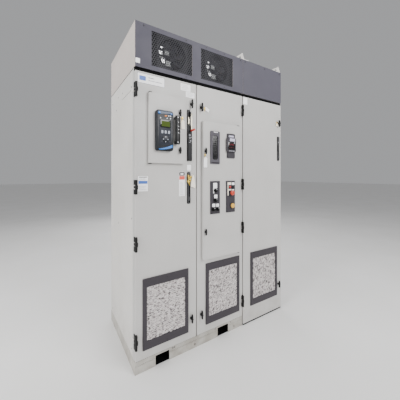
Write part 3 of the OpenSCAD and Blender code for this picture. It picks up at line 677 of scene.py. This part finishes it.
def crumpled(piece, x, z, front, back, seed, lie, step=3.4):
    """Crumpled metal foil over an opening, its folds lying along the angle lie in degrees. Deeper
    cells take darker copies of the foil: painted shade in the folds and valleys.
    """
    columns = int((x[1] - x[0]) / step)
    rows = int((z[1] - z[0]) / step)
    c, s = cos(radians(lie)), sin(radians(lie))
    offset = Vector((seed * 31.7, seed * 17.3, seed * 5.1))

    def rough(u, v, layer):
        return noise.noise(Vector((u, v, layer)) + offset)

    def corner(k, r):
        px = x[0] + (x[1] - x[0]) * k / columns
        pz = z[0] + (z[1] - z[0]) * r / rows
        along, across = px * c + pz * s, -px * s + pz * c
        wave = sin(across * 0.52 + 2.2 * rough(along * 0.02, across * 0.02, 5))
        value = (0.5 + 0.42 * rough(along * 0.055, across * 0.125, 0)
                 - 0.5 * (abs(rough(along * 0.09, across * 0.22, 3)) - 0.2)
                 + 0.24 * rough(px * 0.33, pz * 0.33, 7) + 0.13 * wave)
        return piece.bm.verts.new((px, back + (front - back) * min(max(value, 0.04), 0.98), pz))
    grid = [[corner(k, r) for k in range(columns + 1)] for r in range(rows + 1)]
    for r in range(rows):
        for k in range(columns):
            cell = (grid[r][k], grid[r][k + 1], grid[r + 1][k + 1], grid[r + 1][k])
            deep = (sum(v.co.y for v in cell) / 4 - front) / (back - front)
            # painted shade: deeper cells take darker copies of the foil
            piece.use("filter_valley_shade" if deep > 0.7 else
                      "filter_fold_shade" if deep > 0.56 else "filter_foil")
            piece.face(cell)


def build_filter(node, seed, lie):
    """A door filter: moulded frame, foil media and the dark backing behind it."""
    x, (y0, y1), z = node_mm(node)
    side, end = 27, 56
    inner_x, inner_z = (x[0] + side, x[1] - side), (z[0] + end, z[1] - end)
    piece = Piece(node + "_look", node.split("_")[0] + "_door", "filter_grey")
    # the frame: outer wall, face with a shallow step, wall down to the media
    piece.loops([box_ring(x, y, z, inset_x, inset_z) for inset_x, inset_z, y in (
        (0, 0, y1), (0, 0, y0 + 2.6), (0.8, 0.8, y0 + 0.9), (2.6, 2.6, y0 + 0.1), (6, 6, y0),
        (side - 6, end - 7, y0), (side - 4.6, end - 5.4, y0 + 1.4),
        (side - 1.6, end - 2, y0 + 1.8), (side, end, y0 + 2.6), (side, end, y1))], False, False)
    crumpled(piece, inner_x, inner_z, y0 + 2.8, y1 - 0.6, seed, lie)
    piece.use("seal_black")
    piece.block(inner_x, (y1 - 0.5, y1), inner_z, 0.1)
    for screw_z in (z[1] - 18, z[0] + 18):
        piece.screw((x[0] + x[1]) / 2, screw_z, y0 + 0.4, 4.6, 0.4)
    piece.done(node, crease=28)


# ---- hood windows and fans

def perforated(piece, x, z, front, back, pitch, radius):
    """A perforated sheet: rows of eight-sided holes, every other row set over by half a pitch."""
    rise = pitch * 0.866
    rows = int((z[1] - z[0]) / rise)
    columns = int((x[1] - x[0]) / pitch) - 1
    z_start = (z[0] + z[1]) / 2 - rows * rise / 2
    x_start = (x[0] + x[1]) / 2 - (columns + 0.5) * pitch / 2
    corner = atan2(rise, pitch)
    marks = [radians(45 * k + 22.5) for k in range(8)]
    marks += [corner, pi - corner, pi + corner, -corner]
    marks = sorted(round(a % (2 * pi), 6) for a in marks)
    n = len(marks)
    hole = [radius] * n
    cell = [min(pitch / 2 / abs(cos(a)), rise / 2 / abs(sin(a))) for a in marks]

    def ring(cx, y, cz, reaches):
        return [piece.bm.verts.new((cx + reach * cos(a), y, cz + reach * sin(a)))
                for a, reach in zip(marks, reaches)]

    def plain(x0, x1, z0, z1):
        piece.face([piece.bm.verts.new((px, front, pz))
                    for px, pz in ((x0, z0), (x1, z0), (x1, z1), (x0, z1))])
    for r in range(rows):
        low = z_start + r * rise
        left = x_start + 0.5 * pitch * (r % 2)
        for k in range(columns):
            centre = left + (k + 0.5) * pitch, low + rise / 2
            rim, edge, wall = (ring(centre[0], y, centre[1], reaches) for y, reaches in
                               ((front, hole), (front, cell), (back, hole)))
            for j in range(n):
                m = (j + 1) % n
                piece.face((edge[j], edge[m], rim[m], rim[j]))
                piece.face((rim[j], rim[m], wall[m], wall[j]))
        plain(x[0], left, low, low + rise)
        plain(left + columns * pitch, x[1], low, low + rise)
    plain(x[0], x[1], z[0], z_start)
    plain(x[0], x[1], z_start + rows * rise, z[1])


FAN_CENTRES = ((269, 2137), (661, 2137))


def build_hood_windows():
    x, (y0, _), z = node_mm("hood_grilles")
    grille = Piece("hood_grilles_look", "cabinet", "grille_black").use("grille_grey")
    width = 340
    for left in (x[0], x[1] - width):
        perforated(grille, (left, left + width), z, y0 + 0.05, y0 + 1.2, 16.4, 6.8)
    grille.done("hood_grilles", crease=30)


def build_fan(side):
    """Fan rotor: hub with a cap and seven swept blades."""
    (x0, x1), (y0, y1), (z0, z1) = node_mm("fan_rotor_" + side)
    cx, cz, reach = (x0 + x1) / 2, (z0 + z1) / 2, (x1 - x0) / 2 - 1
    rotor = Piece("fan_rotor_" + side + "_look", "fan_rotor_" + side, "rotor_grey")
    hub = 38
    rotor.turned(cx, cz, [(y0, 20), (y0 + 1.2, 30), (y0 + 4, hub - 1), (y0 + 8, hub),
                        (y1, hub)], 36)
    for start in angles(7):
        rings = []
        for t in (k / 6 for k in range(7)):
            r = hub - 2 + (reach - hub) * t
            ring = []
            for u, thick in ((0, 0.2), (0.3, 1.3), (0.7, 1.2), (1, 0.2), (0.7, -0.8), (0.3, -0.9)):
                a = start + 0.34 * t + (u - 0.5) * (0.62 - 0.16 * t)
                depth = (y1 - y0 - 12) * (0.5 + (u - 0.5) * (0.9 - 0.25 * t))
                ring.append((cx + r * cos(a), y0 + 6 + depth + thick, cz + r * sin(a)))
            rings.append(ring)
        rotor.loops(rings)
    rotor.done("fan_rotor_" + side)


def build_fan_brackets():
    """Fan plates, wire guards and bright brackets seen dimly through the hood windows."""
    plates = Piece("fan_plates", "cabinet", "fan_black").use("fan_plate_grey")
    for cx, cz in FAN_CENTRES:
        rings = []
        for y, outer in ((8, False), (7.6, False), (7.6, True), (8, True)):
            ring = []
            for c, s in ((cos(a), sin(a)) for a in angles(48)):
                reach = min(165 / max(abs(c), 1e-6), 119 / max(abs(s), 1e-6)) if outer else 104
                ring.append((cx + reach * c, y, cz + reach * s))
            rings.append(ring)
        plates.loops(rings, False, False)
    plates.done()
    guard = Piece("fan_guards", "cabinet", "fan_black")
    for cx, cz in FAN_CENTRES:
        guard.use("fan_black")
        for r in range(22, 103, 10):
            guard.hoop(cx, 10.5, cz, r, r, 1.5, 40, 6)
        for spoke in range(4):
            a = radians(45 + 90 * spoke)
            guard.tube([(cx + r * cos(a), 12.6, cz + r * sin(a)) for r in (20, 62, 104)],
                       1.8, 6)
        guard.turned(cx, cz, [(9, 12), (9.6, 18), (12.6, 20), (14, 20)], 24)
        for material, blocks in (
                ("steel_bright", ((-86, -60, -74, -46), (-104, -80, -20, 2), (-96, -74, 22, 34))),
                ("terminal_grey", ((-54, -18, -88, -54), (-62, -28, -14, 14),
                                   (-98, -70, -42, -34)))):
            guard.use(material)
            for x0, x1, z0, z1 in blocks:
                guard.block((cx + x0, cx + x1), (4.4, 7), (cz + z0, cz + z1), 0.5)
    guard.done()


# ---- latches, swing handles and keys

def mirrored(cx, level, half):
    """A closed ring at one level from its left half, which is listed from the back."""
    return ([(cx - dx, y, level) for dx, y in half]
            + [(cx + dx, y, level) for dx, y in half[::-1]])


def tilted(outline, x, z, tilt):
    """An outline turned by tilt degrees and moved to x and z."""
    c, s = cos(radians(tilt)), sin(radians(tilt))
    return [(x + a * c - b * s, z + a * s + b * c) for a, b in outline]


def wing_latch(body, x, z, face, wing, reach):
    """Quarter-turn latch: round boss, a thumb wing over it, and the pawl behind the door."""
    piece = Piece(body + "_look", body, "latch_black")
    y0, y1 = node_mm(body)[1]
    w, h, hub = wing
    piece.turned(x, z, [(face - 11 * h / 66, hub), (face - 4, hub), (face - 1.2, hub * 0.98),
                        (face - 0.05, hub * 0.9)], 32, False, False)
    piece.turned(x, z, [(y0 + 1, hub * 0.42), (y0 + 2, hub * 0.62),
                        (face - 12 * h / 66, hub * 0.86),
                        (face - 10.6 * h / 66, hub)], 32, True, False)
    # the wing: thin blade swelling into round ends
    b = face - 11.0 * h / 66
    rings = []
    for t, half, front in ((0, 0.22, 0.5), (0.05, 0.42, 0.24), (0.16, 0.5, 0.06), (0.34, 0.44, 0),
                           (0.5, 0.5, 0), (0.66, 0.44, 0), (0.84, 0.5, 0.06), (0.95, 0.42, 0.24),
                           (1, 0.22, 0.5)):
        level = z - h / 2 + h * t
        a = y0 + (b - y0) * front
        hw = w * half
        rings.append(mirrored(x, level, ((hw, b), (hw, a + hw * 0.6), (hw * 0.5, a))))
    piece.loops(rings)
    piece.use("steel_bright")
    piece.turned(x, z, [(y0 + 0.3, 1.6), (y0 + 0.4, 2.4), (y0 + 1.6, 2.6)], 16, True, False)
    piece.use("zinc_plate")
    rod = max(hub * 0.45, 4)
    piece.turned(x, z, [(face, rod), (y1, rod)], 16)
    piece.block((x - 6, x + 6), (y1 - 4, y1), (z - reach, z + 8))
    piece.done(body)


def swing_handle(side):
    """Swing lever over its dish, with a lock barrel and a finger recess; the recess and the keyway
    are flat black patches, painted shade.
    """
    (x0, x1), (y0, y1), (z0, z1) = node_mm(side + "_handle_base")
    cx, cz, w, h = (x0 + x1) / 2, (z0 + z1) / 2, x1 - x0, z1 - z0
    base = Piece(side + "_handle_base_look", side + "_door", "latch_black")
    base.slab(rounded(cx, cz, w, h, 9), y0, y1, 1.4, 3)
    base.done(side + "_handle_base")
    body = side + "_handle"
    (y1, z1) = (node_mm(body)[k][1] for k in (1, 2))
    lever = Piece(body + "_look", body, "handle_grey")
    back, front = -4.35, -11.25
    pivot = cz + 94
    lh, lw = h - 6, w - 5
    rings = []
    for t, wide, low in ((0, 0.62, 0.3), (0.012, 0.84, 0.12), (0.03, 0.94, 0.04), (0.1, 1, 0),
                         (0.32, 0.86, 0.02), (0.55, 0.8, 0.03), (0.72, 0.9, 0), (0.86, 1, 0),
                         (0.965, 0.94, 0.04), (0.986, 0.84, 0.12), (1, 0.62, 0.3)):
        level = cz - lh / 2 + lh * t
        hw = lw / 2 * wide
        f = front + (back - front) * low
        rings.append(mirrored(cx, level, ((hw, back), (hw, f + 2.4), (hw - 0.8, f + 0.9),
                                          (hw - 3, f))))
    lever.loops(rings)
    # painted shade: flat black patches for the finger recess
    lever.plates("seal_black", front, ((cx, cz - 18, 8, 96, 4, -0.02, 0.6),
                                       (cx, cz - lh / 2 + 14, 12, 12, 3, -0.02, 0.6)))
    lever.use("steel_bright")
    lever.turned(cx, pivot - 34, [(front - 0.04, 4.4), (front - 0.04, 7.2), (front + 0.4, 7.8),
                                  (front + 1, 7.8)], 28, True, False)
    # painted shade: a black sliver for the keyway
    lever.use("seal_black")
    lever.block((cx - 0.9, cx + 0.9), (front - 0.06, front + 0.3), (pivot - 38, pivot - 30), 0.05)
    lever.use("zinc_plate")
    lever.turned(cx, pivot, [(back, 6), (y1, 6)], 20)
    lever.block((cx - 6, cx + 6), (y1 - 4, y1), (pivot - 9, z1 if z1 > pivot + 20 else pivot + 30))
    lever.done(body)


def key_set(name, body, x, z, face, tag=None, tilt=0, drop=12):
    """A brass key in a lock; the tag, if any, is (width, height, material) and hangs from it."""
    piece = Piece(name, body, "latch_black").use("brass")
    piece.block((x - 0.8, x + 0.8), (face - 7, face + 1), (z - 6, z + 5), 0.2)
    piece.slab(rounded(x, z - 8, 12, 13, 5), face - 9, face - 7.4, 0.3)
    piece.block((x - 5.4, x - 3.8), (face - 9, face - 7.2), (z - 34, z - 12), 0.2)
    piece.hoop(x, face - 8.2, z - 15, 5, 7, 0.7, 22, 6)
    if tag:
        w, h, material = tag
        piece.use(material)
        outline = ((-w / 2, -h), (w / 2, -h), (w / 2, -6), (w * 0.22, 0), (-w * 0.22, 0),
                   (-w / 2, -6))
        piece.slab(tilted(outline, x + 3, z - drop, tilt), face - 6.6, face - 6.1)
    piece.done()


# ---- keypad, bow handle and breaker operator

def build_keypad():
    (x0, x1), (y0, y1), (z0, z1) = node_mm("keypad")
    cx, cz, w, h = (x0 + x1) / 2, (z0 + z1) / 2, x1 - x0, z1 - z0
    pad = Piece("keypad_look", "control_door", "keypad_dark")
    pad.slab(rounded(cx, cz, w, h, 15, 8), y0 + 7, y1, 2, 3)
    pad.slab(rounded(cx, cz, w - 8, h - 8, 12, 8), y0 + 3, y0 + 8, 3, 4)
    pad.plates("key_dark", y0, [(cx - 1, 1573, 84, 168, 9, 1.6, 3.2)], 0.8)
    # the blue band at the top, its two bright patches, which are painted highlights, and the sweep
    # at the bottom
    pad.use("blue_band")
    arc = [(x0 + 8 + (w - 16) * k / 14, z1 - 38 + 13 * sin(pi * (0.12 + 0.76 * k / 14)))
           for k in range(15)]
    pad.slab(arc + [(x, min(z1 - 6.5, z + 23)) for x, z in arc][::-1], y0 + 1.4, y0 + 3.4, 0.7)
    pad.plates("blue_highlight", y0, ((x0 + 19, z1 - 20, 17, 13, 5, 1.1, 2),
                                   (x1 - 17, z1 - 19, 14, 6, 2.5, 1.1, 2)), 0.3)
    sweep = [(x0 + 16 + (w - 24) * k / 12, z0 + 6 + 18 * (k / 12) ** 2.1) for k in range(13)]
    top = [(x, z + 6 + 13 * k / 12) for k, (x, z) in enumerate(sweep)][::-1]
    pad.slab(sweep + top, y0 + 1.2, y0 + 3.4, 0.7)
    # screen, three soft keys, the round pad with its arrows, and two pairs of side keys
    pad.plates("glass_black", y0, [(187, 1630, 74, 52, 4, 0.7, 1.8)], 0.5)
    pad.plates("screen_olive", y0, [(189, 1630, 60, 36, 2, 0.45, 0.8)])
    pad.plates("key_light", y0, [(x, 1576, 14, 21, 5, 0.2, 1.8) for x in (164, 188, 212)], 0.7, 3)
    pad.use("keypad_dark")
    pad.slab(circle(188, 1528, 24, 36), y0 + 0.7, y0 + 1.8, 0.6)
    pad.plates("key_light", y0, [(188 + 16.5 * cos(a), 1528 + 16.5 * sin(a),
                                  7, 7, 2.4, 0.3, 0.9) for a in angles(4)], 0.3)
    pad.use("key_dark")
    pad.slab(circle(188, 1528, 9, 28), y0 + 0.05, y0 + 0.9, 0.6)
    pad.plates("key_dark", y0, [(x, z, 15, 12, 5, 0.5, 1.8) for x in (160, 216)
                                for z in (1545, 1510)], 0.5)
    for material, places in (
            ("lamp_white", ((152, 1667), (199, 1668), (223, 1669), (211, 1686), (224, 1686))),
            ("lamp_orange", ((186, 1683), (195, 1684)))):
        pad.plates(material, y0, [(x, z, 5.4, 8, 2.4, 0.9, 3.4) for x, z in places], 0.5)
    # painted highlight: a light strip down the keypad's right rim
    pad.use("key_light")
    pad.block((x1 - 1.7, x1 - 0.1), (y0 + 12, y1 - 5), (z0 + 22, z1 - 22), 0.3)
    pad.done("keypad")


def build_bow_handle():
    (x0, x1), (y0, y1), (z0, z1) = node_mm("control_handle")
    cx, cz, w, h = (x0 + x1) / 2, (z0 + z1) / 2, x1 - x0, z1 - z0
    bow = Piece("bow_handle_look", "control_door", "bow_handle_black")
    rings = []
    for k in range(25):
        t = -1 + 2 * k / 24
        bulge = sqrt(max(1 - abs(t) ** 7, 0.02))
        hw = w / 2 * (0.72 + 0.28 * bulge)
        front, back = y0 + 6 * (1 - bulge), y0 + 14
        rib = 0.45 if k % 2 else 0
        rings.append([(cx + hw * sin(a),
                       (front + back) / 2 - (back - front - rib) / 2 * cos(a), cz + h / 2 * t)
                      for a in angles(20)][::-1])
    bow.loops(rings)
    for z in (z0 + 13.2, z1 - 13.2):
        bow.slab(rounded(cx, z, 27, 25, 9), y0 + 8, y1)
        bow.screw(cx, z, y0 + 0.8, 4, 0.7, "steel_bright")
    bow.plates("steel_bright", y0, [(cx + 3, cz + dz, 9, 2.2, 1, 0, 0.9)
                                    for dz in (52, 24, 3, -21)])
    bow.done("control_handle")


def build_breaker_operator():
    """The lever with its hub, arm and ribbed red grip, and the marks on its plate."""
    hub_y, hub_z, hub_radius = -16, 1735, 7.4
    lever = Piece("breaker_lever_look", "breaker_lever", "lever_red").use("lever_steel")
    lever.loops([[(x, hub_y + r * sin(a), hub_z + r * cos(a)) for a in angles(24)]
                 for x, r in ((405, hub_radius - 0.6), (405.6, hub_radius),
                              (412.4, hub_radius), (413, hub_radius - 0.6))])
    lever.block((405, 413), (-20, -12), (1616, 1731), 0.8)
    lever.block((404.6, 413.2), (-20.3, -11.7), (1625, 1650), 0.8)
    lever.use("lever_red")
    lever.turned(409, 1616, [(-64, 4.2), (-63.4, 6.2), (-62, 7.4), (-59, 8), (-50, 7.3), (-41, 7.9),
                             (-32, 7.3), (-24, 7.9), (-18, 7.2), (-12, 6.6)])
    lever.done("breaker_lever")

    marks = Piece("operator_marks", "left_door", "operator_black")
    marks.plates("label_grey", -14.02, [(*place, 1, -0.25, 0.1) for place in (
        (397, 1582, 14, 7), (402, 1566, 20, 3), (398, 1557, 12, 3), (404, 1540, 9, 9),
        (396, 1528, 14, 3))])
    marks.use("lever_steel")
    marks.block((386, 392), (-11.5, -8), (1662, 1712), 0.5)
    marks.block((393, 396), (-10.5, -8), (1668, 1700), 0.5)
    for x, z in ((400, 1762), (390, 1404), (408, 1406)):
        marks.screw(x, z, -8, 3.2, 1.2)
    marks.done()


# ---- devices on the panel door

def build_meter_display():
    (x0, x1), (y0, _), (z0, z1) = node_mm("meter_bezel")
    cx, cz = (x0 + x1) / 2, (z0 + z1) / 2
    look = Piece("meter_display", "panel_door", "bezel_grey").use("glass_black")
    look.slab(rounded(cx, cz, 51.2, 185.2, 15.5, 8), -27.4, -27.05)
    look.plates("seal_black", 0, [(cx, cz - 66 + 16.5 * k, 34, 3, 1.4, -27.9, -27.3)
                                  for k in range(9)])
    # painted shade: a black strip for the dark underside of the bezel
    look.plates("seal_black", y0, [(cx, z0 + 9, 70, 5, 2, -0.02, 0.4)])
    # painted highlight: a white strip along the bezel's top edge
    look.plates("label_white", y0, [(cx + 4, z1 - 7, 40, 4.4, 2, -0.25, 0.1)])
    look.done()


def build_relay_face():
    relay = Piece("relay_face", "panel_door", "device_grey")
    face, rim = -43, -33
    relay.plates("glass_black", face, [(769, 1524, 74, 62, 5, -0.35, 0.1)], 0.3)
    # painted highlight: lilac-white patches on the relay's curved upper face
    relay.plates("relay_lilac_highlight", face, [(778, 1574, 54, 22, 2, -0.3, 0.1)])
    relay.plates("relay_lilac_highlight", rim, [(776, 1603, 50, 14, 2, -0.3, 0.1)])
    relay.plates("label_grey", rim, [(752, 1603, 12, 8, 2, -0.4, 0.1)])
    relay.plates("label_grey", face, [(752 + 20 * k, 1484, 13, 7, 2.5, -0.6, 0.1)
                                      for k in range(3)], 0.4)
    relay.plates("lamp_red", face, [(750 + 13 * k, 1536, 7, 13, 1.5, -0.6, -0.2)
                                    for k in range(4)], 0.2)
    for material, x, z, grow in (("lamp_red", 752, 1511, 0), ("lamp_red", 768, 1511, 0),
                                 ("lamp_red", 784, 1511, 0), ("lamp_white", 798, 1551, 0.2)):
        relay.use(material)
        relay.turned(x, z, [(face - 0.9, 1.6 + grow), (face - 0.7, 3 + grow),
                            (face - 0.2, 3.2 + grow)], 16, True, False)
    relay.use("seal_black")
    for x in (738, 808):
        for z in (1440, 1614):
            relay.screw(x, z, rim, 3.4, 1.4)
    relay.done()


def build_pilot_legends():
    legend = Piece("pilot_legends", "panel_door", "device_grey")
    legend.sheets("label_white", -33.7, -32.95, 2, (594, 630, 1188, 1230), (594, 602, 1150, 1188),
                  (603, 632, 1112, 1139), (585, 613, 1046, 1070), (622, 648, 1045, 1068),
                  (781, 807, 1210, 1231), (783, 803, 1167, 1176))
    legend.sheets("label_cream", -33.7, -32.95, 2, (736, 773, 1212, 1232), (736, 742, 1180, 1212),
                  (736, 775, 1168, 1178), (736, 745, 1128, 1168))
    for x in (576, 731):
        for z in (998, 1238):
            legend.screw(x, z, -33, 2.6, 1)
            legend.screw(x + 76, z, -33, 2.6, 1)
    legend.done()


def build_pilot_operators():
    """A white line on each selector knob, and the turned caps of the buttons."""
    for name, x, z in (("top", 612, 1172), ("middle", 612, 1098), ("low_left", 593, 1029),
                       ("low_right", 632, 1029)):
        mark = Piece("selector_" + name + "_mark", "selector_" + name, "selector_black")
        mark.plates("label_white", 0, [(x, z + 9.4, 2.2, 9, 1, -55.25, -54.9)])
        mark.done()
    for body, x, z, r, head_back, material in (
            ("push_button_left", 757, 1196, 10, -37.5, "button_red"),
            ("push_button_right", 791, 1196, 10, -37.5, "selector_black"),
            ("stop_button", 770, 1149, 20, -51, "stop_red"),
            ("reset_button", 783, 1044, 19, -37.5, "reset_amber")):
        button = Piece(body + "_look", body, SLOTS[body]).use(material)
        front, back = node_mm(body)[1]
        rise = min(r * 0.3, 5)
        dome = [(front + rise * (1 - cos(radians(a))), r * sin(radians(a)))
                for a in (8, 24, 42, 60, 76, 90)]
        button.turned(x, z, dome + [(head_back - 0.8, r), (head_back, r - 0.7), (head_back, 4),
                                    (back, 4)], 40)
        if body == "stop_button":
            button.use("label_cream")
            for k in range(3):
                a = radians(90 + 120 * k)
                button.slab([(x + 11 * cos(a + d) * s, z + 11 * sin(a + d) * s)
                             for d, s in ((-0.34, 1.1), (0.34, 1.1), (0, 0.72))],
                            front + 1.1, front + 2)
        button.done(body)


# ---- labels and tags

LABEL, SECOND, PRINT, PRINT_ON_SECOND = ((-0.25, 0.05, 1.5), (-0.47, -0.17, 1.5),
                                         (-0.32, -0.17, 0.5), (-0.52, -0.37, 0.5))


def build_labels():
    """Plain coloured labels in layers, each given as front, back and corner radius."""
    left = Piece("left_door_labels", "left_door", "door_paint")
    left.sheets("label_grey", *LABEL, (15, 205, 1890, 1955))
    left.sheets("label_white", -0.45, -0.15, 1.5, (18, 202, 1893, 1952))
    left.sheets("label_blue", -0.57, -0.37, 3, (28, 72, 1908, 1938))
    left.sheets("label_grey", *PRINT_ON_SECOND, (88, 130, 1930, 1937), (88, 184, 1913, 1918))
    left.sheets("label_grey", *PRINT, *[(338, 400 - z % 3 * 9, z, z + 3)
                                        for z in (1910, 1920, 1930, 1940)])
    left.sheets("label_grey", *PRINT, *[(380, 438 - z % 3 * 8, z, z + 3)
                                        for z in (1868, 1878, 1888)])
    left.sheets("label_black", *PRINT, (26, 80, 1274, 1279))
    left.sheets("label_white", *LABEL, (330, 410, 1902, 1950), (372, 445, 1860, 1898),
                (383, 415, 1325, 1365), (317, 363, 1140, 1312))
    left.sheets("label_black", *SECOND, (318, 362, 1286, 1311))
    left.sheets("label_white", -0.52, -0.37, 1, (328, 352, 1293, 1303))
    left.sheets("label_red", *SECOND, (318, 362, 1257, 1284))
    left.sheets("label_grey", *PRINT, *[(322, 356 - 7 * (k % 3), 1150 + 11 * k, 1153 + 11 * k)
                                        for k in range(9)])
    left.sheets("label_white", *LABEL, (20, 85, 1185, 1283))
    left.sheets("label_blue", *SECOND, (22, 83, 1233, 1253))
    for k in range(3):
        left.sheets("label_grey", *PRINT, (26, 76 - 9 * (k % 2), 1194 + 11 * k, 1197 + 11 * k),
                    (26, 70, 1257 + 5 * k, 1259 + 5 * k))
    left.done()
    right = Piece("right_door_labels", "right_door", "door_paint")
    right.sheets("label_white", *LABEL, (938, 983, 1903, 1960))
    right.done()
    hood = Piece("hood_labels", "cabinet", "hood_paint")
    hood_face = node_mm("hood_covers")[1][0]
    hood.sheets("label_white", hood_face - 0.25, hood_face + 0.05, 1.5, (3, 32, 2015, 2045))
    hood.done()


def build_handle_keys():
    """The bunch of keys and the tag that hang at the left swing handle."""
    ring = Piece("handle_key_ring", "left_door", "latch_black").use("brass")
    bow, bit = ((-7, 0), (7, 0), (8, 8), (0, 15), (-8, 8)), ((-2, -24), (2, -24), (2, 1), (-2, 1))
    for place in ((392, 1262, 8), (399, 1246, -14), (387, 1238, 20), (404, 1270, -30)):
        for outline in (bow, bit):
            ring.slab(tilted(outline, *place), -15.6, -14.4, 0.3)
    ring.hoop(395, -15.8, 1276, 11, 11, 1, 26, 8)
    ring.done()
    tag = Piece("handle_tag", "left_door", "door_paint").use("label_cream")
    tag.slab([(424, 1292), (436, 1284), (448, 1205), (444, 1196), (410, 1206), (408, 1216)],
             -9.5, -9)
    tag.tube([(401, -7, 1262), (406, -11, 1285), (415, -12, 1296), (425, -10, 1289)], 0.7, 6)
    tag.done()


def build_keys():
    key_set("keys_control", "control_door", 326, 1700, -25, (26, 62, "label_cream"), 4, 22)
    key_set("keys_handle", "left_door", 384, 1288, -11)
    build_handle_keys()
    key_set("keys_middle", "middle_door", 534, 1806, 0, (24, 40, "label_white"), 58, 2)
    key_set("keys_panel", "panel_door", 520, 1448, -25, (30, 76, "label_white"), 0, 24)
    key_set("keys_right", "right_door", 1366, 1800, 0, (28, 30, "label_cream"), -8, 10)


# ---- the scene

def make_floor():
    """A wide pale studio floor."""
    g = Graph("studio_floor")
    cloud = g.ramp(g.noise(1.3, 4), 0.3, 0.7)
    g.surface(Base_Color=g.mix(cloud, linear(232, 231, 229), linear(238, 237, 236)),
              Roughness=g.ramp(g.noise(6, 4), 0.3, 0.7, 0.55, 0.75),
              Normal=g.bump(g.noise(90, 2), 0.1, 0.0005))
    mesh = bpy.data.meshes.new("floor")
    mesh.from_pydata([(-40, -40, 0), (40, -40, 0), (40, 40, 0), (-40, 40, 0)], [], [(0, 1, 2, 3)])
    mesh.materials.append(g.material)
    floor = bpy.data.objects.new("floor", mesh)
    bpy.context.scene.collection.objects.link(floor)


def build_latches():
    """All ten latches: door, x, heights of the two, face of the door, wing size, pawl's reach."""
    large, small = (9, 66, 11), (9, 48, 9)
    for door, x, low, high, face, wing, reach in (
            ("left", 417, 238, 1812, 0, large, 43), ("middle", 504, 238, 1802, 0, large, 38),
            ("right", 1389, 244, 1785, 0, large, 30), ("control", 309, 1463, 1726, -25, small, 26),
            ("panel", 526, 862, 1471, -25, small, 26)):
        wing_latch(door + "_latch_bottom", x, low, face, wing, reach)
        wing_latch(door + "_latch_top", x, high, face, wing, reach)


dress_cad()
build_seals()
build_side_details()
build_plinth_details()
build_shadow_gaps()
build_hinge_sleeves()
for seed, (filter_node, fold_angle) in enumerate((("left_filter", 6), ("middle_filter", 38),
                                                  ("right_filter", 82)), 1):
    build_filter(filter_node, seed, fold_angle)
build_hood_windows()
build_fan("left")
build_fan("middle")
build_fan_brackets()
build_latches()
swing_handle("left")
swing_handle("right")
build_keypad()
build_bow_handle()
build_breaker_operator()
build_meter_display()
build_relay_face()
build_pilot_legends()
build_pilot_operators()
build_labels()
build_keys()
make_floor()
make_light()
make_camera()
